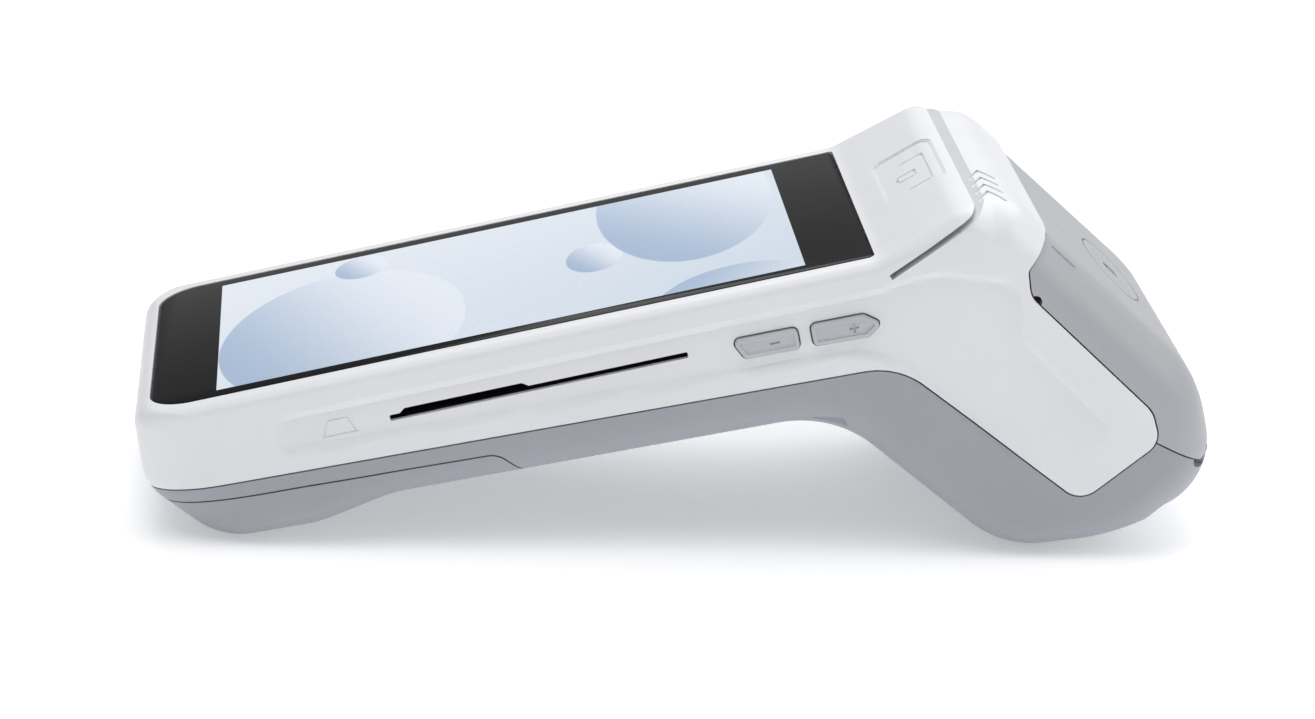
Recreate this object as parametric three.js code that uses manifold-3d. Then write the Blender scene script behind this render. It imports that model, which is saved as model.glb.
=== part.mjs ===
// Card payment terminal: a handheld touch-screen terminal with a receipt printer in its raised head.
// Millimetres, +Z up, standing on its feet. The origin is on the table under the middle of the terminal.
// The design is drawn in the display's own frame, which is tilted to its standing angle at the end:
// X runs along the display from the user's end to the head, Y across it, Z square out of the glass,
// and X = 0, Z = 0 is the user's end of the glass face. Side views are drawn in X and Z.
import * as THREE from "three";
import { mergeVertices } from "three/addons/utils/BufferGeometryUtils.js";
import Module from "manifold-3d";

const wasm = await Module();
wasm.setup();

// ---- Driving dimensions ----
const STANDING_ANGLE = 13.8; // tilt of the display towards the user, degrees
const HALF_WIDTH = 39; // half of the terminal's width
const WALL = 2.2; // casing wall
const FAR = 50; // reach of a cutting shape beyond the casing
const SEAM = 0.3; // gap between casing pieces, and between touching pieces
const USER_END = -4.6; // where the casing ends beyond the glass at the user's end
const CORNER_RADIUS = 11; // corners of the user's end, seen from above
const RIM_ROUND = 2.5; // rounding of the casing around the glass
const BELLY_ROUND = 8; // rounding of the long lower edges
const BACK_RISE = 8.5; // how far the sides of the back fall away from its flat middle
const BACK_RUN = 12; // how wide that fall is
const LID_DROP = 0.9; // how far the paper cover lies below the brow's plane

const GLASS_LENGTH = 136.5;
const GLASS_WIDTH = 68.5;
const GLASS_THICK = 1.9;
const GLASS_CORNER = 8; // at the user's end; the head end is nearly square
const GLASS_HEAD_CORNER = 1.2;
const LCD_MARGIN = 8; // from the glass ends to the display panel
const LCD_WIDTH = 65;
const LCD_THICK = 2.4;
const LEDGE_WIDTH = 1.7; // casing ledge under the edge of the glass
const LEDGE_THICK = 1.6;

const SPLIT_HEIGHT = -14.6; // white to grey parting line at the user's end
const DOOR_DROP = 3.3; // battery cover edge, below the parting line
const DOOR_END = 61; // where the battery cover's edge turns down
const BELLY_DEPTH = 28.8; // underside of the casing below the glass face, next to the head
const GRIP_DEPTH = 28.7; // underside of the grip bulge
const WAIST_DEPTH = 26.4; // underside between them

const CREST_X = 153.5; // top of the raised step
const CREST_HEIGHT = 5.6;
const BROW_X = 163.9; // where the top of the head turns down into the back
const BROW_HEIGHT = 4.5;
const BACK_ANGLE = 54.5; // slope of the back and of the paper cover, degrees below the display
const REAR_X = 192.9; // rearmost face
const HEAD_DEPTH = 65.2; // bottom of the head
const LEG_SLOPE = 52; // slope of the head's inner face, degrees

const CARD_SLOT_START = 43; // chip card slot: along X
const CARD_SLOT_LENGTH = 56.2;
const CARD_SLOT_Z = -10;
const CARD_SLOT_HEIGHT = 1.2;
const EMBOSS_START = 2.4; // raised part of the slot for embossed figures, from the slot's start
const EMBOSS_LENGTH = 22.9;
const EMBOSS_HEIGHT = 0.8;
const CARD_DEPTH = 56; // how far a chip card goes in past the casing's side

const SWIPE_ANGLE = 23.5; // magnetic stripe slot
const SWIPE_BOTTOM_X = 138.6;
const SWIPE_BOTTOM_Z = -3.2;
const SWIPE_HEIGHT = 1.1;
const SWIPE_FLOOR = 1.6;
const SWIPE_HEAD_AT = 10.5; // magnetic head's middle, from the bottom of the slot

const KEY_PROUD = 0.8; // above the side recess floor
const KEY_FLANGE = 0.7;
const RECESS_DEPTH = 0.9;

const ROLL_RADIUS = 20; // paper roll, 57.5 mm wide and 40 mm across
const ROLL_WIDTH = 57.5;
const ROLL_PLAY = 0.6;
const BAY_WALL = 1.2;
const BAY_X = 167.9;
const BAY_Z = -40.2;

const PLATEN_X = 164;
const PLATEN_Z = -13.8;
const PLATEN_RADIUS = 4;
const SHAFT_RADIUS = 1.2;
const RUNNING_GAP = 0.1; // round a turning shaft
const GEAR_MODULE = 0.5;
const GEAR_WIDTH = 1.8;
const PLATEN_TEETH = 20;
const IDLER_TEETH = 34;
const PINION_TEETH = 12;
const BACKLASH = 0.12;
const GEAR_LINE_ANGLE = 200.2; // from the platen to the idler and the motor
const MOTOR_RADIUS = 7;
const MOTOR_LENGTH = 12;

const HINGE_X = 190.1;
const HINGE_Z = -52.7;
const BARREL_RADIUS = 2.4;
const BARREL_ROOM = 0.8; // round the barrel, for the cover's edge to turn in
const CORNER_ROOM = 1.8; // the same at the cover's lower corners, beyond the ears
const PIN_RADIUS = 0.8;

const BATTERY = { start: 7.5, length: 52, width: 56, thick: 5.6 };
const BOARD_TOP = -13.7; // main board, below the glass face
const BOARD_THICK = 1.2;
const FOOT_RADIUS = 4;
const FOOT_THICK = 1.4;
const FOOT_PROUD = 0.5;
const FOOT_SPREAD = 24; // half of the distance between a pair of feet
const SCREW_RADIUS = 1;
const SCREW_HEAD_RADIUS = 1.9;
const SCREW_HEAD_THICK = 1.2;
const POST_RADIUS = 2.4;
const SCREW_SPREAD = 31;

const rad = THREE.MathUtils.degToRad;

// ---- Outlines ----

// Rounds the corners [x, z, radius, ...rest] of a closed outline. Each point keeps its corner's rest.
function rounded(corners, step = 14) {
  const points = [];
  corners.forEach(([x, z, radius = 0, ...rest], i) => {
    const before = corners[(i + corners.length - 1) % corners.length];
    const after = corners[(i + 1) % corners.length];
    const corner = new THREE.Vector2(x, z);
    const back = new THREE.Vector2(before[0], before[1]).sub(corner).normalize();
    const on = new THREE.Vector2(after[0], after[1]).sub(corner).normalize();
    const turn = Math.PI - Math.acos(THREE.MathUtils.clamp(back.dot(on), -1, 1));
    if (!radius || turn < 0.01) {
      points.push({ x, z, rest });
      return;
    }
    const bisector = back.clone().add(on).normalize();
    const centre = corner.clone().addScaledVector(bisector, radius / Math.cos(turn / 2));
    const side = Math.sign(back.cross(on));
    const steps = Math.max(1, Math.ceil(turn / rad(step)));
    for (let k = 0; k <= steps; k++) {
      const swing = (k / steps - 0.5) * turn * -side;
      const arm = bisector.clone().negate().rotateAround(new THREE.Vector2(), swing);
      points.push({ x: centre.x + arm.x * radius, z: centre.y + arm.y * radius, rest });
    }
  });
  return points;
}

// Moves an outline's points outwards (or inwards, with a negative distance).
function moved(points, distance) {
  return points.map((p, i) => {
    const n = outward(points, i);
    const d = typeof distance === "number" ? distance : distance(p);
    return { ...p, x: p.x + n.x * d, z: p.z + n.z * d };
  });
}

// The outward direction at a point of an anticlockwise outline, long enough to keep its sides parallel.
function outward(points, i) {
  const count = points.length;
  const p = points[i];
  const a = points[(i + count - 1) % count];
  const b = points[(i + 1) % count];
  const first = new THREE.Vector2(p.z - a.z, a.x - p.x).normalize();
  const second = new THREE.Vector2(b.z - p.z, p.x - b.x).normalize();
  const middle = first.clone().add(second).normalize();
  const stretch = 1 / Math.max(0.5, middle.dot(first));
  return { x: middle.x * stretch, z: middle.y * stretch };
}

// ---- Solids ----

// A frame turns shapes up by an angle in the side view and moves their origin to (x, z).
const backFrame = { angle: 90 - BACK_ANGLE, x: PLATEN_X, z: PLATEN_Z };
const swipeFrame = { angle: SWIPE_ANGLE, x: SWIPE_BOTTOM_X, z: SWIPE_BOTTOM_Z };

function solid(geometry, frame) {
  const bare = new THREE.BufferGeometry().setAttribute("position", geometry.getAttribute("position"));
  bare.setIndex(geometry.getIndex());
  if (frame) bare.rotateY(-rad(frame.angle)).translate(frame.x, 0, frame.z);
  const merged = mergeVertices(bare, 1e-4);
  return new wasm.Manifold(
    new wasm.Mesh({
      numProp: 3,
      vertProperties: new Float32Array(merged.attributes.position.array),
      triVerts: new Uint32Array(merged.index.array),
    }),
  );
}

const join = (...solids) => solids.reduce((all, one) => all.add(one));
const cut = (body, ...tools) => tools.reduce((left, tool) => left.subtract(tool), body);

function block(x0, x1, y0, y1, z0, z1, frame) {
  const g = new THREE.BoxGeometry(x1 - x0, y1 - y0, z1 - z0);
  return solid(g.translate((x0 + x1) / 2, (y0 + y1) / 2, (z0 + z1) / 2), frame);
}

// A side-view outline carried across the terminal from y0 to y1.
function prism(points, y0, y1, holes = []) {
  const shape = new THREE.Shape(points.map((p) => new THREE.Vector2(p.x, p.z)));
  shape.holes = holes.map((hole) => new THREE.Path(hole.map((p) => new THREE.Vector2(p.x, p.z))));
  const g = new THREE.ExtrudeGeometry(shape, { depth: y1 - y0, bevelEnabled: false });
  return solid(g.rotateX(Math.PI / 2).translate(0, y1, 0));
}

// A top-view outline with corners [x, y, radius] carried up from z0 to z1.
function slab(corners, z0, z1) {
  const shape = new THREE.Shape(rounded(corners).map((p) => new THREE.Vector2(p.x, p.z)));
  const g = new THREE.ExtrudeGeometry(shape, { depth: z1 - z0, bevelEnabled: false });
  return solid(g.translate(0, 0, z0));
}

// A round bar along Y, from y0 to y1.
function barY(radius, x, z, y0, y1, sides = 20) {
  const g = new THREE.CylinderGeometry(radius, radius, y1 - y0, sides);
  return solid(g.translate(x, (y0 + y1) / 2, z));
}

// A round bar along Z, from z0 to z1.
function barZ(radius, x, y, z0, z1, sides = 20) {
  const g = new THREE.CylinderGeometry(radius, radius, z1 - z0, sides);
  return solid(g.rotateX(Math.PI / 2).translate(x, y, (z0 + z1) / 2));
}

// ---- Casing form ----

const backSlope = Math.tan(rad(BACK_ANGLE));
const legSlope = Math.tan(rad(LEG_SLOPE));
const rearTopZ = BROW_HEIGHT - (REAR_X - BROW_X) * backSlope;
const legTopX = 123.4; // where the underside turns down into the head
const legFootX = legTopX + (HEAD_DEPTH - 2.2 - BELLY_DEPTH) / legSlope;
const headBottomX = (legFootX + REAR_X) / 2 - 0.5;
const headBottomRadius = 2 * (REAR_X - legFootX) - 43.5; // smaller under a shorter head, so that it fits

// Side view, anticlockwise: [x, z, radius, rise, run]. Rise and run give how far the sides fall away.
const casingCorners = [
  [USER_END + 1.1, 0, RIM_ROUND + 1, RIM_ROUND - 1, RIM_ROUND],
  [USER_END, -15, 9, 4, BELLY_ROUND],
  [6.4, -GRIP_DEPTH + 0.4, 13, BELLY_ROUND, BELLY_ROUND],
  [25, -GRIP_DEPTH - 0.4, 24, BELLY_ROUND, BELLY_ROUND],
  [40, -WAIST_DEPTH, 24, BELLY_ROUND, BELLY_ROUND],
  [legTopX, -BELLY_DEPTH - 0.4, 22, BELLY_ROUND, BELLY_ROUND],
  [legFootX, -HEAD_DEPTH + 2.2, 19, BELLY_ROUND, BELLY_ROUND],
  [headBottomX, -HEAD_DEPTH, headBottomRadius, BELLY_ROUND, BELLY_ROUND],
  [REAR_X + 0.3, -HEAD_DEPTH + 5.4, 14, 9, BACK_RUN],
  [REAR_X, rearTopZ, 24, BACK_RISE, BACK_RUN],
  [BROW_X, BROW_HEIGHT, 9, 7.5, 12],
  [CREST_X, CREST_HEIGHT, 9, 3.5, 5],
  [GLASS_LENGTH + 0.5, 0, 12, RIM_ROUND, RIM_ROUND],
];

// A closed body with the side view's outline, whose sides round off by each point's rise and run.
function roundedBody(corners, inset) {
  const outline = moved(rounded(corners, 12), -inset);
  const sweeps = [0, 30, 60, 90].map(rad);
  const rings = [...sweeps.map((a) => [a, -1]).reverse(), ...sweeps.map((a) => [a, 1])];
  const count = outline.length;
  const positions = [];
  for (const [sweep, side] of rings) {
    const ring = moved(outline, (p) => -Math.max(p.rest[0] - inset, 0.4) * (1 - Math.cos(sweep)));
    ring.forEach((p) => {
      const run = Math.max(p.rest[1] - inset, 0.4);
      positions.push(p.x, side * (HALF_WIDTH - inset - run * (1 - Math.sin(sweep))), p.z);
    });
  }
  const index = [];
  for (let ring = 0; ring + 1 < rings.length; ring++)
    for (let i = 0; i < count; i++) {
      const a = ring * count + i;
      const b = ring * count + ((i + 1) % count);
      index.push(a, b + count, b, a, a + count, b + count);
    }
  const last = (rings.length - 1) * count;
  const rim = outline.map((_, i) => new THREE.Vector2(positions[3 * i], positions[3 * i + 2]));
  for (const [a, b, c] of THREE.ShapeUtils.triangulateShape(rim, [])) {
    index.push(a, b, c, last + a, last + c, last + b);
  }
  const g = new THREE.BufferGeometry();
  g.setAttribute("position", new THREE.Float32BufferAttribute(positions, 3));
  return solid(g.setIndex(index));
}

// The paper cover's side view: the same, with the flat of the back a little lower.
const lidCorners = casingCorners.map(([x, z, ...rest]) =>
  x === REAR_X || x === BROW_X ? [x, z - LID_DROP / Math.cos(rad(BACK_ANGLE)), ...rest] : [x, z, ...rest],
);

// The casing's outer or inner form: the rounded body within the user's end as seen from above.
function casingForm(corners, inset) {
  const end = USER_END + inset;
  const half = HALF_WIDTH - inset;
  const plan = [
    [end, half, CORNER_RADIUS - inset],
    [end, -half, CORNER_RADIUS - inset],
    [REAR_X + 20, -half],
    [REAR_X + 20, half],
  ];
  return roundedBody(corners, inset).intersect(slab(plan, -120, 60));
}

const outerForm = casingForm(casingCorners, 0);
const shell = outerForm.subtract(casingForm(casingCorners, WALL));
const lidForm = casingForm(lidCorners, 0);

// ---- Casing regions, side view ----

// White front housing: above the parting line, down the head's wings, and up behind them to the brow.
const frontRegion = rounded([
  [USER_END - 20, SPLIT_HEIGHT + 0.3],
  [24, -16.1],
  [136.8, -20.25, 14],
  [165.8, -54.6, 4.5],
  [182.4, -46.3, 4],
  [182, -40, 6],
  [163.3, -12.6, 5],
  [163.7, -7.5, 1.5],
  [163.7 + 20, -7.5 + 16],
  [163.7 + 20, 40],
  [USER_END - 20, 40],
]);

// Paper cover: behind the wings, above the hinge line.
const coverRegion = rounded([
  [176, -41.3],
  [HINGE_X - 0.2, HINGE_Z],
  [REAR_X + 20, HINGE_Z],
  [REAR_X + 20, 30],
  [150, 30],
  [150, -20],
]);

// Battery cover: the lower user's end with the grip bulge.
const doorRegion = rounded([
  [USER_END - 20, SPLIT_HEIGHT - DOOR_DROP + 0.3],
  [USER_END - 20, -60],
  [DOOR_END + 8, -60],
  [DOOR_END + 4.5, -BELLY_DEPTH + 1],
  [DOOR_END, -21.2, 4],
  [24, -16.1 - DOOR_DROP],
]);

const region = (points, growth = 0) => prism(moved(points, growth), -FAR, FAR);

// ---- Standing ----

// The frame of a spot on the table, under the casing's lowest point between two places along it.
const tilt = rad(STANDING_ANGLE);
const tableX = (p) => p.x * Math.cos(tilt) - p.z * Math.sin(tilt);
const tableZ = (p) => p.x * Math.sin(tilt) + p.z * Math.cos(tilt);
const casingOutline = rounded(casingCorners, 3);
const lowest = (from, to) =>
  casingOutline.filter((p) => p.x > from && p.x < to).reduce((a, b) => (tableZ(b) < tableZ(a) ? b : a));
const tableLevel = Math.min(...casingOutline.map(tableZ)) - FOOT_PROUD;
function standingFrame(point) {
  const x = tableX(point);
  return {
    angle: -STANDING_ANGLE,
    x: x * Math.cos(tilt) + tableLevel * Math.sin(tilt),
    z: tableLevel * Math.cos(tilt) - x * Math.sin(tilt),
  };
}
const FOOT_PLACES = { door: standingFrame(lowest(0, 60)), head: standingFrame(lowest(120, 190)) };

function footSolid(frame, y, radius, z0, z1) {
  const g = new THREE.CylinderGeometry(radius, radius, z1 - z0, 20);
  return solid(g.rotateX(Math.PI / 2).translate(0, y, (z0 + z1) / 2), frame);
}

function footRecess(frame) {
  const radius = FOOT_RADIUS + SEAM;
  const top = FOOT_THICK + SEAM;
  return join(...bothSides.map((side) => footSolid(frame, side * FOOT_SPREAD, radius, -3, top)));
}

// ---- Casing parts ----

const bothSides = [-1, 1];

const glassOutline = (growth) => [
  [-growth, GLASS_WIDTH / 2 + growth, GLASS_CORNER + growth],
  [-growth, -GLASS_WIDTH / 2 - growth, GLASS_CORNER + growth],
  [GLASS_LENGTH + growth, -GLASS_WIDTH / 2 - growth, GLASS_HEAD_CORNER],
  [GLASS_LENGTH + growth, GLASS_WIDTH / 2 + growth, GLASS_HEAD_CORNER],
];
const innerHalf = HALF_WIDTH - WALL;

// The ledge that carries the edge of the glass, open in the middle for the display panel.
function glassLedge() {
  const top = -GLASS_THICK - SEAM;
  const bottom = top - LEDGE_THICK;
  const reach = 0.2; // into the walls, so that it is one piece with them
  const outer = slab(
    [
      [USER_END + WALL, innerHalf + reach, CORNER_RADIUS - WALL],
      [USER_END + WALL, -innerHalf - reach, CORNER_RADIUS - WALL],
      [GLASS_LENGTH + 2, -innerHalf - reach],
      [GLASS_LENGTH + 2, innerHalf + reach],
    ],
    bottom,
    top,
  );
  return cut(outer, slab(glassOutline(-LEDGE_WIDTH), bottom - 1, top + 1));
}

// The solid step over the display's head end that the swipe slot is cut through.
function swipeBlock() {
  const floor = SWIPE_HEIGHT / 2 + SWIPE_FLOOR;
  const body = block(-4, 24.5, -HALF_WIDTH, HALF_WIDTH, -floor, 20, swipeFrame);
  const root = block(GLASS_LENGTH - 3, GLASS_LENGTH + 3, -HALF_WIDTH, HALF_WIDTH, -5.4, -GLASS_THICK - SEAM);
  return join(body, root).intersect(outerForm).intersect(block(GLASS_LENGTH - 3, 200, -FAR, FAR, -20, 20));
}

const swipeSlot = () =>
  block(0, 40, -HALF_WIDTH - 5, HALF_WIDTH + 5, -SWIPE_HEIGHT / 2, SWIPE_HEIGHT / 2, swipeFrame);

const SWIPE_HEAD = { length: 9, width: 12.4, deep: 6 };
function swipeWindow() {
  const { length, width } = SWIPE_HEAD;
  const x = SWIPE_HEAD_AT;
  return block(
    x - length / 2 - SEAM, x + length / 2 + SEAM, -width / 2 - SEAM, width / 2 + SEAM, -12, 0, swipeFrame,
  );
}

// The chip card slot in the near side, taller where a card's embossed figures pass.
function cardSlot(y0, y1) {
  const low = CARD_SLOT_Z - CARD_SLOT_HEIGHT / 2;
  const high = CARD_SLOT_Z + CARD_SLOT_HEIGHT / 2;
  const start = CARD_SLOT_START + EMBOSS_START;
  return join(
    block(CARD_SLOT_START, CARD_SLOT_START + CARD_SLOT_LENGTH, y0, y1, low, high),
    block(start, start + EMBOSS_LENGTH, y0, y1, low, high + EMBOSS_HEIGHT),
  );
}

// The shallow recess along each side that runs on down the head's wing.
function sideRecess() {
  const outline = rounded([
    [22, -12.3, 2],
    [134, -16.7, 16],
    [161.5, -47.5, 2],
    [172.6, -39.8, 2],
    [160, -19.5, 6],
    [161, -9.5, 3],
    [146, -3.8, 14],
    [136, -5.3, 6],
    [22, -5.3, 2],
  ]);
  const floor = HALF_WIDTH - RECESS_DEPTH;
  return join(prism(outline, -HALF_WIDTH - 2, -floor), prism(outline, floor, HALF_WIDTH + 2));
}

// Side keys: an outline in the side view, on the near (-1) or the far side (1).
const KEYS = {
  volume_down_button: {
    side: -1,
    outline: [[109.4, -12.9, 1], [119.8, -13.2, 1], [119.8, -9.1, 1], [107.5, -8.9, 1]],
  },
  volume_up_button: {
    side: -1,
    outline: [[122.4, -13.3, 1], [132.6, -13.7, 1], [135.4, -11.6, 0.8], [132.4, -9.3, 1], [122.4, -9.1, 1]],
  },
  power_button: {
    side: 1,
    outline: [[112, -13, 1.6], [126, -13.4, 1.6], [126, -9.4, 1.6], [112, -9.2, 1.6]],
  },
};
const keyFace = HALF_WIDTH - RECESS_DEPTH + KEY_PROUD;

// A solid of the key's outline, grown, between two distances from the middle of the terminal.
function keySolid({ side, outline }, growth, from, to) {
  const points = moved(rounded(outline, 30), growth);
  return side < 0 ? prism(points, -to, -from) : prism(points, from, to);
}

function sideKey(key) {
  const flangeOut = innerHalf - SEAM;
  const flangeIn = flangeOut - KEY_FLANGE;
  return join(keySolid(key, 0, flangeIn, keyFace), keySolid(key, KEY_FLANGE, flangeIn, flangeOut));
}

const keyHoles = () =>
  join(...Object.values(KEYS).map((key) => keySolid(key, SEAM, innerHalf - 1, HALF_WIDTH + 2)));

const USB = { x: 78, z: -11.7, length: 9.2, height: 3.2, depth: 7.3, wall: 0.35 };
const usbHole = () =>
  block(
    USB.x - USB.length / 2 - SEAM, USB.x + USB.length / 2 + SEAM, innerHalf - 2, HALF_WIDTH + 1,
    USB.z - USB.height / 2 - SEAM, USB.z + USB.height / 2 + SEAM,
  );

function frontHousing() {
  const walls = shell.intersect(region(frontRegion));
  const whole = join(walls, glassLedge(), swipeBlock());
  const pocket = slab(glassOutline(SEAM), -GLASS_THICK - SEAM, 10);
  return cut(
    whole, pocket, swipeSlot(), swipeWindow(), sideRecess(), keyHoles(), usbHole(),
    cardSlot(-HALF_WIDTH - 5, -innerHalf + 2),
  );
}

// Screws: where they stand along the display, and the height that the head seats at.
const trayTop = SPLIT_HEIGHT - 1.6;
const trayFloor = trayTop - WALL + 0.8;
const POST_TIP = -15.4;
const SCREWS = [
  { x: 8, seat: trayFloor },
  { x: 36, seat: trayFloor },
  { x: 104.2, seat: -BELLY_DEPTH + 2.6 },
];
const screwPlaces = SCREWS.flatMap(({ x, seat }) =>
  bothSides.map((side) => ({ x, y: side * SCREW_SPREAD, seat })),
);

// The floor over the battery, its end wall, and the bosses that the screws pass through.
function rearInside() {
  const tray = block(USER_END + 1.5, DOOR_END + 7, -innerHalf - 0.5, innerHalf + 0.5, trayFloor, trayTop);
  const wall = block(DOOR_END + 5.4, DOOR_END + 7, -innerHalf - 0.5, innerHalf + 0.5, -40, trayTop);
  const bosses = screwPlaces
    .filter(({ x }) => x > DOOR_END)
    .map(({ x, y }) => barZ(SCREW_HEAD_RADIUS + 1.6, x, y, -40, POST_TIP - SEAM));
  return join(tray, wall, ...bosses).intersect(outerForm);
}

function screwHoles() {
  return join(
    ...screwPlaces.map(({ x, y, seat }) =>
      join(
        barZ(SCREW_RADIUS + RUNNING_GAP, x, y, seat - 3, -8),
        barZ(SCREW_HEAD_RADIUS + SEAM, x, y, -40, seat),
      ),
    ),
  );
}

// Hinge: the cover's barrel lies in a round seat in the rear housing, between two ears with pins.
const BARREL_HALF = 29;
const EAR_THICK = 3;
const earSpan = BARREL_HALF + SEAM + EAR_THICK + SEAM;
const barrelSeat = () =>
  join(
    barY(BARREL_RADIUS + BARREL_ROOM, HINGE_X, HINGE_Z, -earSpan, earSpan),
    barY(CORNER_ROOM, HINGE_X, HINGE_Z, -HALF_WIDTH - 1, HALF_WIDTH + 1),
  );

function hingeEars() {
  return join(
    ...bothSides.map((side) => {
      const inner = BARREL_HALF + SEAM;
      const [y0, y1] = side < 0 ? [-inner - EAR_THICK, -inner] : [inner, inner + EAR_THICK];
      const web = prism(
        rounded([
          [HINGE_X - 4, HINGE_Z - 9],
          [HINGE_X + 2, HINGE_Z - 6],
          [HINGE_X + BARREL_RADIUS - 0.2, HINGE_Z - 0.4, 0.8],
          [HINGE_X, HINGE_Z + BARREL_RADIUS, 1.2],
          [HINGE_X - BARREL_RADIUS, HINGE_Z - 0.4, 0.8],
          [HINGE_X - 4.5, HINGE_Z - 5],
        ]),
        y0,
        y1,
      );
      return web.intersect(outerForm);
    }),
  );
}

const pinHoles = () =>
  barY(PIN_RADIUS + RUNNING_GAP, HINGE_X, HINGE_Z, -BARREL_HALF - 2.6, BARREL_HALF + 2.6, 12);

function rearHousing() {
  const walls = cut(shell, region(frontRegion, SEAM), region(coverRegion, SEAM), region(doorRegion, SEAM));
  const inside = cut(rearInside(), region(frontRegion, SEAM), doorSweep());
  const tub = cut(join(walls, inside), barrelSeat());
  return cut(join(tub, hingeEars()), pinHoles(), screwHoles(), footRecess(FOOT_PLACES.head), strapNotch());
}

// The space that the battery cover passes through: the cover's region below the tray.
function doorSweep() {
  const below = block(-FAR, DOOR_END + 5, -FAR, FAR, -60, SPLIT_HEIGHT - DOOR_DROP - WALL);
  return below.intersect(region(doorRegion, SEAM));
}

// A finger notch in the edge where the head's inner face begins.
const strapNotch = () =>
  prism(rounded([[119.6, -27.6, 0.6], [119, -31], [126.6, -35], [125.2, -28.6, 1.2]]), -50, -HALF_WIDTH + 3);

function batteryCover() {
  const skin = shell.intersect(region(doorRegion));
  const rims = bothSides.map((side) => {
    const [y0, y1] = side < 0 ? [-innerHalf + 1, -innerHalf + 2.2] : [innerHalf - 2.2, innerHalf - 1];
    return block(14, DOOR_END - 4, y0, y1, -25, trayFloor - SEAM - 1.4).intersect(outerForm);
  });
  return cut(join(skin, ...rims), footRecess(FOOT_PLACES.door));
}

// Arms under the paper cover that carry the platen's shaft, in the back frame.
const ARM = { inner: 30.7, thick: 1.5, radius: 3 };
function platenArms() {
  return join(
    ...bothSides.map((side) => {
      const [y0, y1] = side < 0 ? [-ARM.inner - ARM.thick, -ARM.inner] : [ARM.inner, ARM.inner + ARM.thick];
      const eye = new THREE.CylinderGeometry(ARM.radius, ARM.radius, ARM.thick, 20);
      return join(
        solid(eye.translate(0, (y0 + y1) / 2, 0), backFrame),
        block(0, 9.2, y0, y1, -ARM.radius, ARM.radius, backFrame),
      );
    }),
  ).intersect(lidForm);
}

const PAPER_EXIT = 0.9;
function paperCover() {
  const shape = lidForm.subtract(casingForm(lidCorners, WALL));
  const skin = shape.intersect(cut(region(coverRegion), region(frontRegion, SEAM)));
  const barrel = barY(BARREL_RADIUS, HINGE_X, HINGE_Z, -BARREL_HALF, BARREL_HALF);
  const knuckle = block(
    HINGE_X - 0.6, HINGE_X + BARREL_RADIUS - 0.2, -BARREL_HALF, BARREL_HALF, HINGE_Z, HINGE_Z + 4,
  );
  const earRoom = barY(BARREL_RADIUS + 2 * SEAM, HINGE_X, HINGE_Z, BARREL_HALF + SEAM / 3, earSpan);
  const farRoom = barY(BARREL_RADIUS + 2 * SEAM, HINGE_X, HINGE_Z, -earSpan, -BARREL_HALF - SEAM / 3);
  const bore = new THREE.CylinderGeometry(SHAFT_RADIUS + RUNNING_GAP, SHAFT_RADIUS + RUNNING_GAP, 80, 16);
  const exit = block(2, 20, -ROLL_WIDTH / 2 - 1, ROLL_WIDTH / 2 + 1, 5.3 - PAPER_EXIT, 9, backFrame);
  const tearRib = block(7.4, 9.4, -ROLL_WIDTH / 2 + 3, ROLL_WIDTH / 2 - 3, 1, 3.4, backFrame);
  const whole = join(cut(skin, earRoom, farRoom, exit), platenArms(), tearRib, barrel, knuckle);
  return cut(whole, solid(bore, backFrame), pinHoles());
}

// ---- Gears ----

// An involute spur gear's outline, with a tooth on the +X side unless it starts half a pitch round.
function gearOutline(teeth, startAngle) {
  const pitch = (GEAR_MODULE * teeth) / 2;
  const base = pitch * Math.cos(rad(20));
  const tip = pitch + 0.8 * GEAR_MODULE;
  const root = pitch - 1.15 * GEAR_MODULE;
  const spread = (r) => (r > base ? Math.tan(Math.acos(base / r)) - Math.acos(base / r) : 0);
  const halfTooth = Math.PI / (2 * teeth) - BACKLASH / (2 * pitch) + spread(pitch);
  const radii = [root, Math.max(base, root + 0.05), pitch, tip];
  const points = [];
  for (let k = 0; k < teeth; k++) {
    const middle = startAngle + (2 * Math.PI * k) / teeth;
    const flank = radii.map((r) => [r, halfTooth - spread(r)]);
    const whole = [...flank.map(([r, a]) => [r, -a]), ...flank.reverse()];
    whole.forEach(([r, a]) => points.push({ x: r * Math.cos(middle + a), z: r * Math.sin(middle + a) }));
  }
  return points;
}

function gear(teeth, startAngle, bore, y0, y1) {
  const hole = Array.from({ length: 16 }, (_, k) => {
    const a = (k * Math.PI) / 8;
    return { x: bore * Math.cos(a), z: bore * Math.sin(a) };
  });
  return prism(gearOutline(teeth, startAngle), y0, y1, bore ? [hole] : []);
}

const gearLine = rad(GEAR_LINE_ANGLE);
const platenToIdler = (GEAR_MODULE * (PLATEN_TEETH + IDLER_TEETH)) / 2;
const idlerToMotor = (GEAR_MODULE * (IDLER_TEETH + PINION_TEETH)) / 2;
const along = (distance) => ({
  x: PLATEN_X + distance * Math.cos(gearLine),
  z: PLATEN_Z + distance * Math.sin(gearLine),
});
const idlerPlace = along(platenToIdler);
const motorPlace = along(platenToIdler + idlerToMotor);
const GEAR_Y = ARM.inner + ARM.thick + SEAM + 0.2;
const gearSpan = [GEAR_Y, GEAR_Y + GEAR_WIDTH];
const idlerStart = gearLine + Math.PI / IDLER_TEETH; // a gap faces each neighbour

// ---- Printer ----

const platenHalf = ROLL_WIDTH / 2 + 0.2;

function platenRoller() {
  return cut(
    barY(PLATEN_RADIUS, 0, 0, -platenHalf, platenHalf, 28),
    barY(SHAFT_RADIUS + RUNNING_GAP, 0, 0, -40, 40, 16),
  );
}

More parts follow.
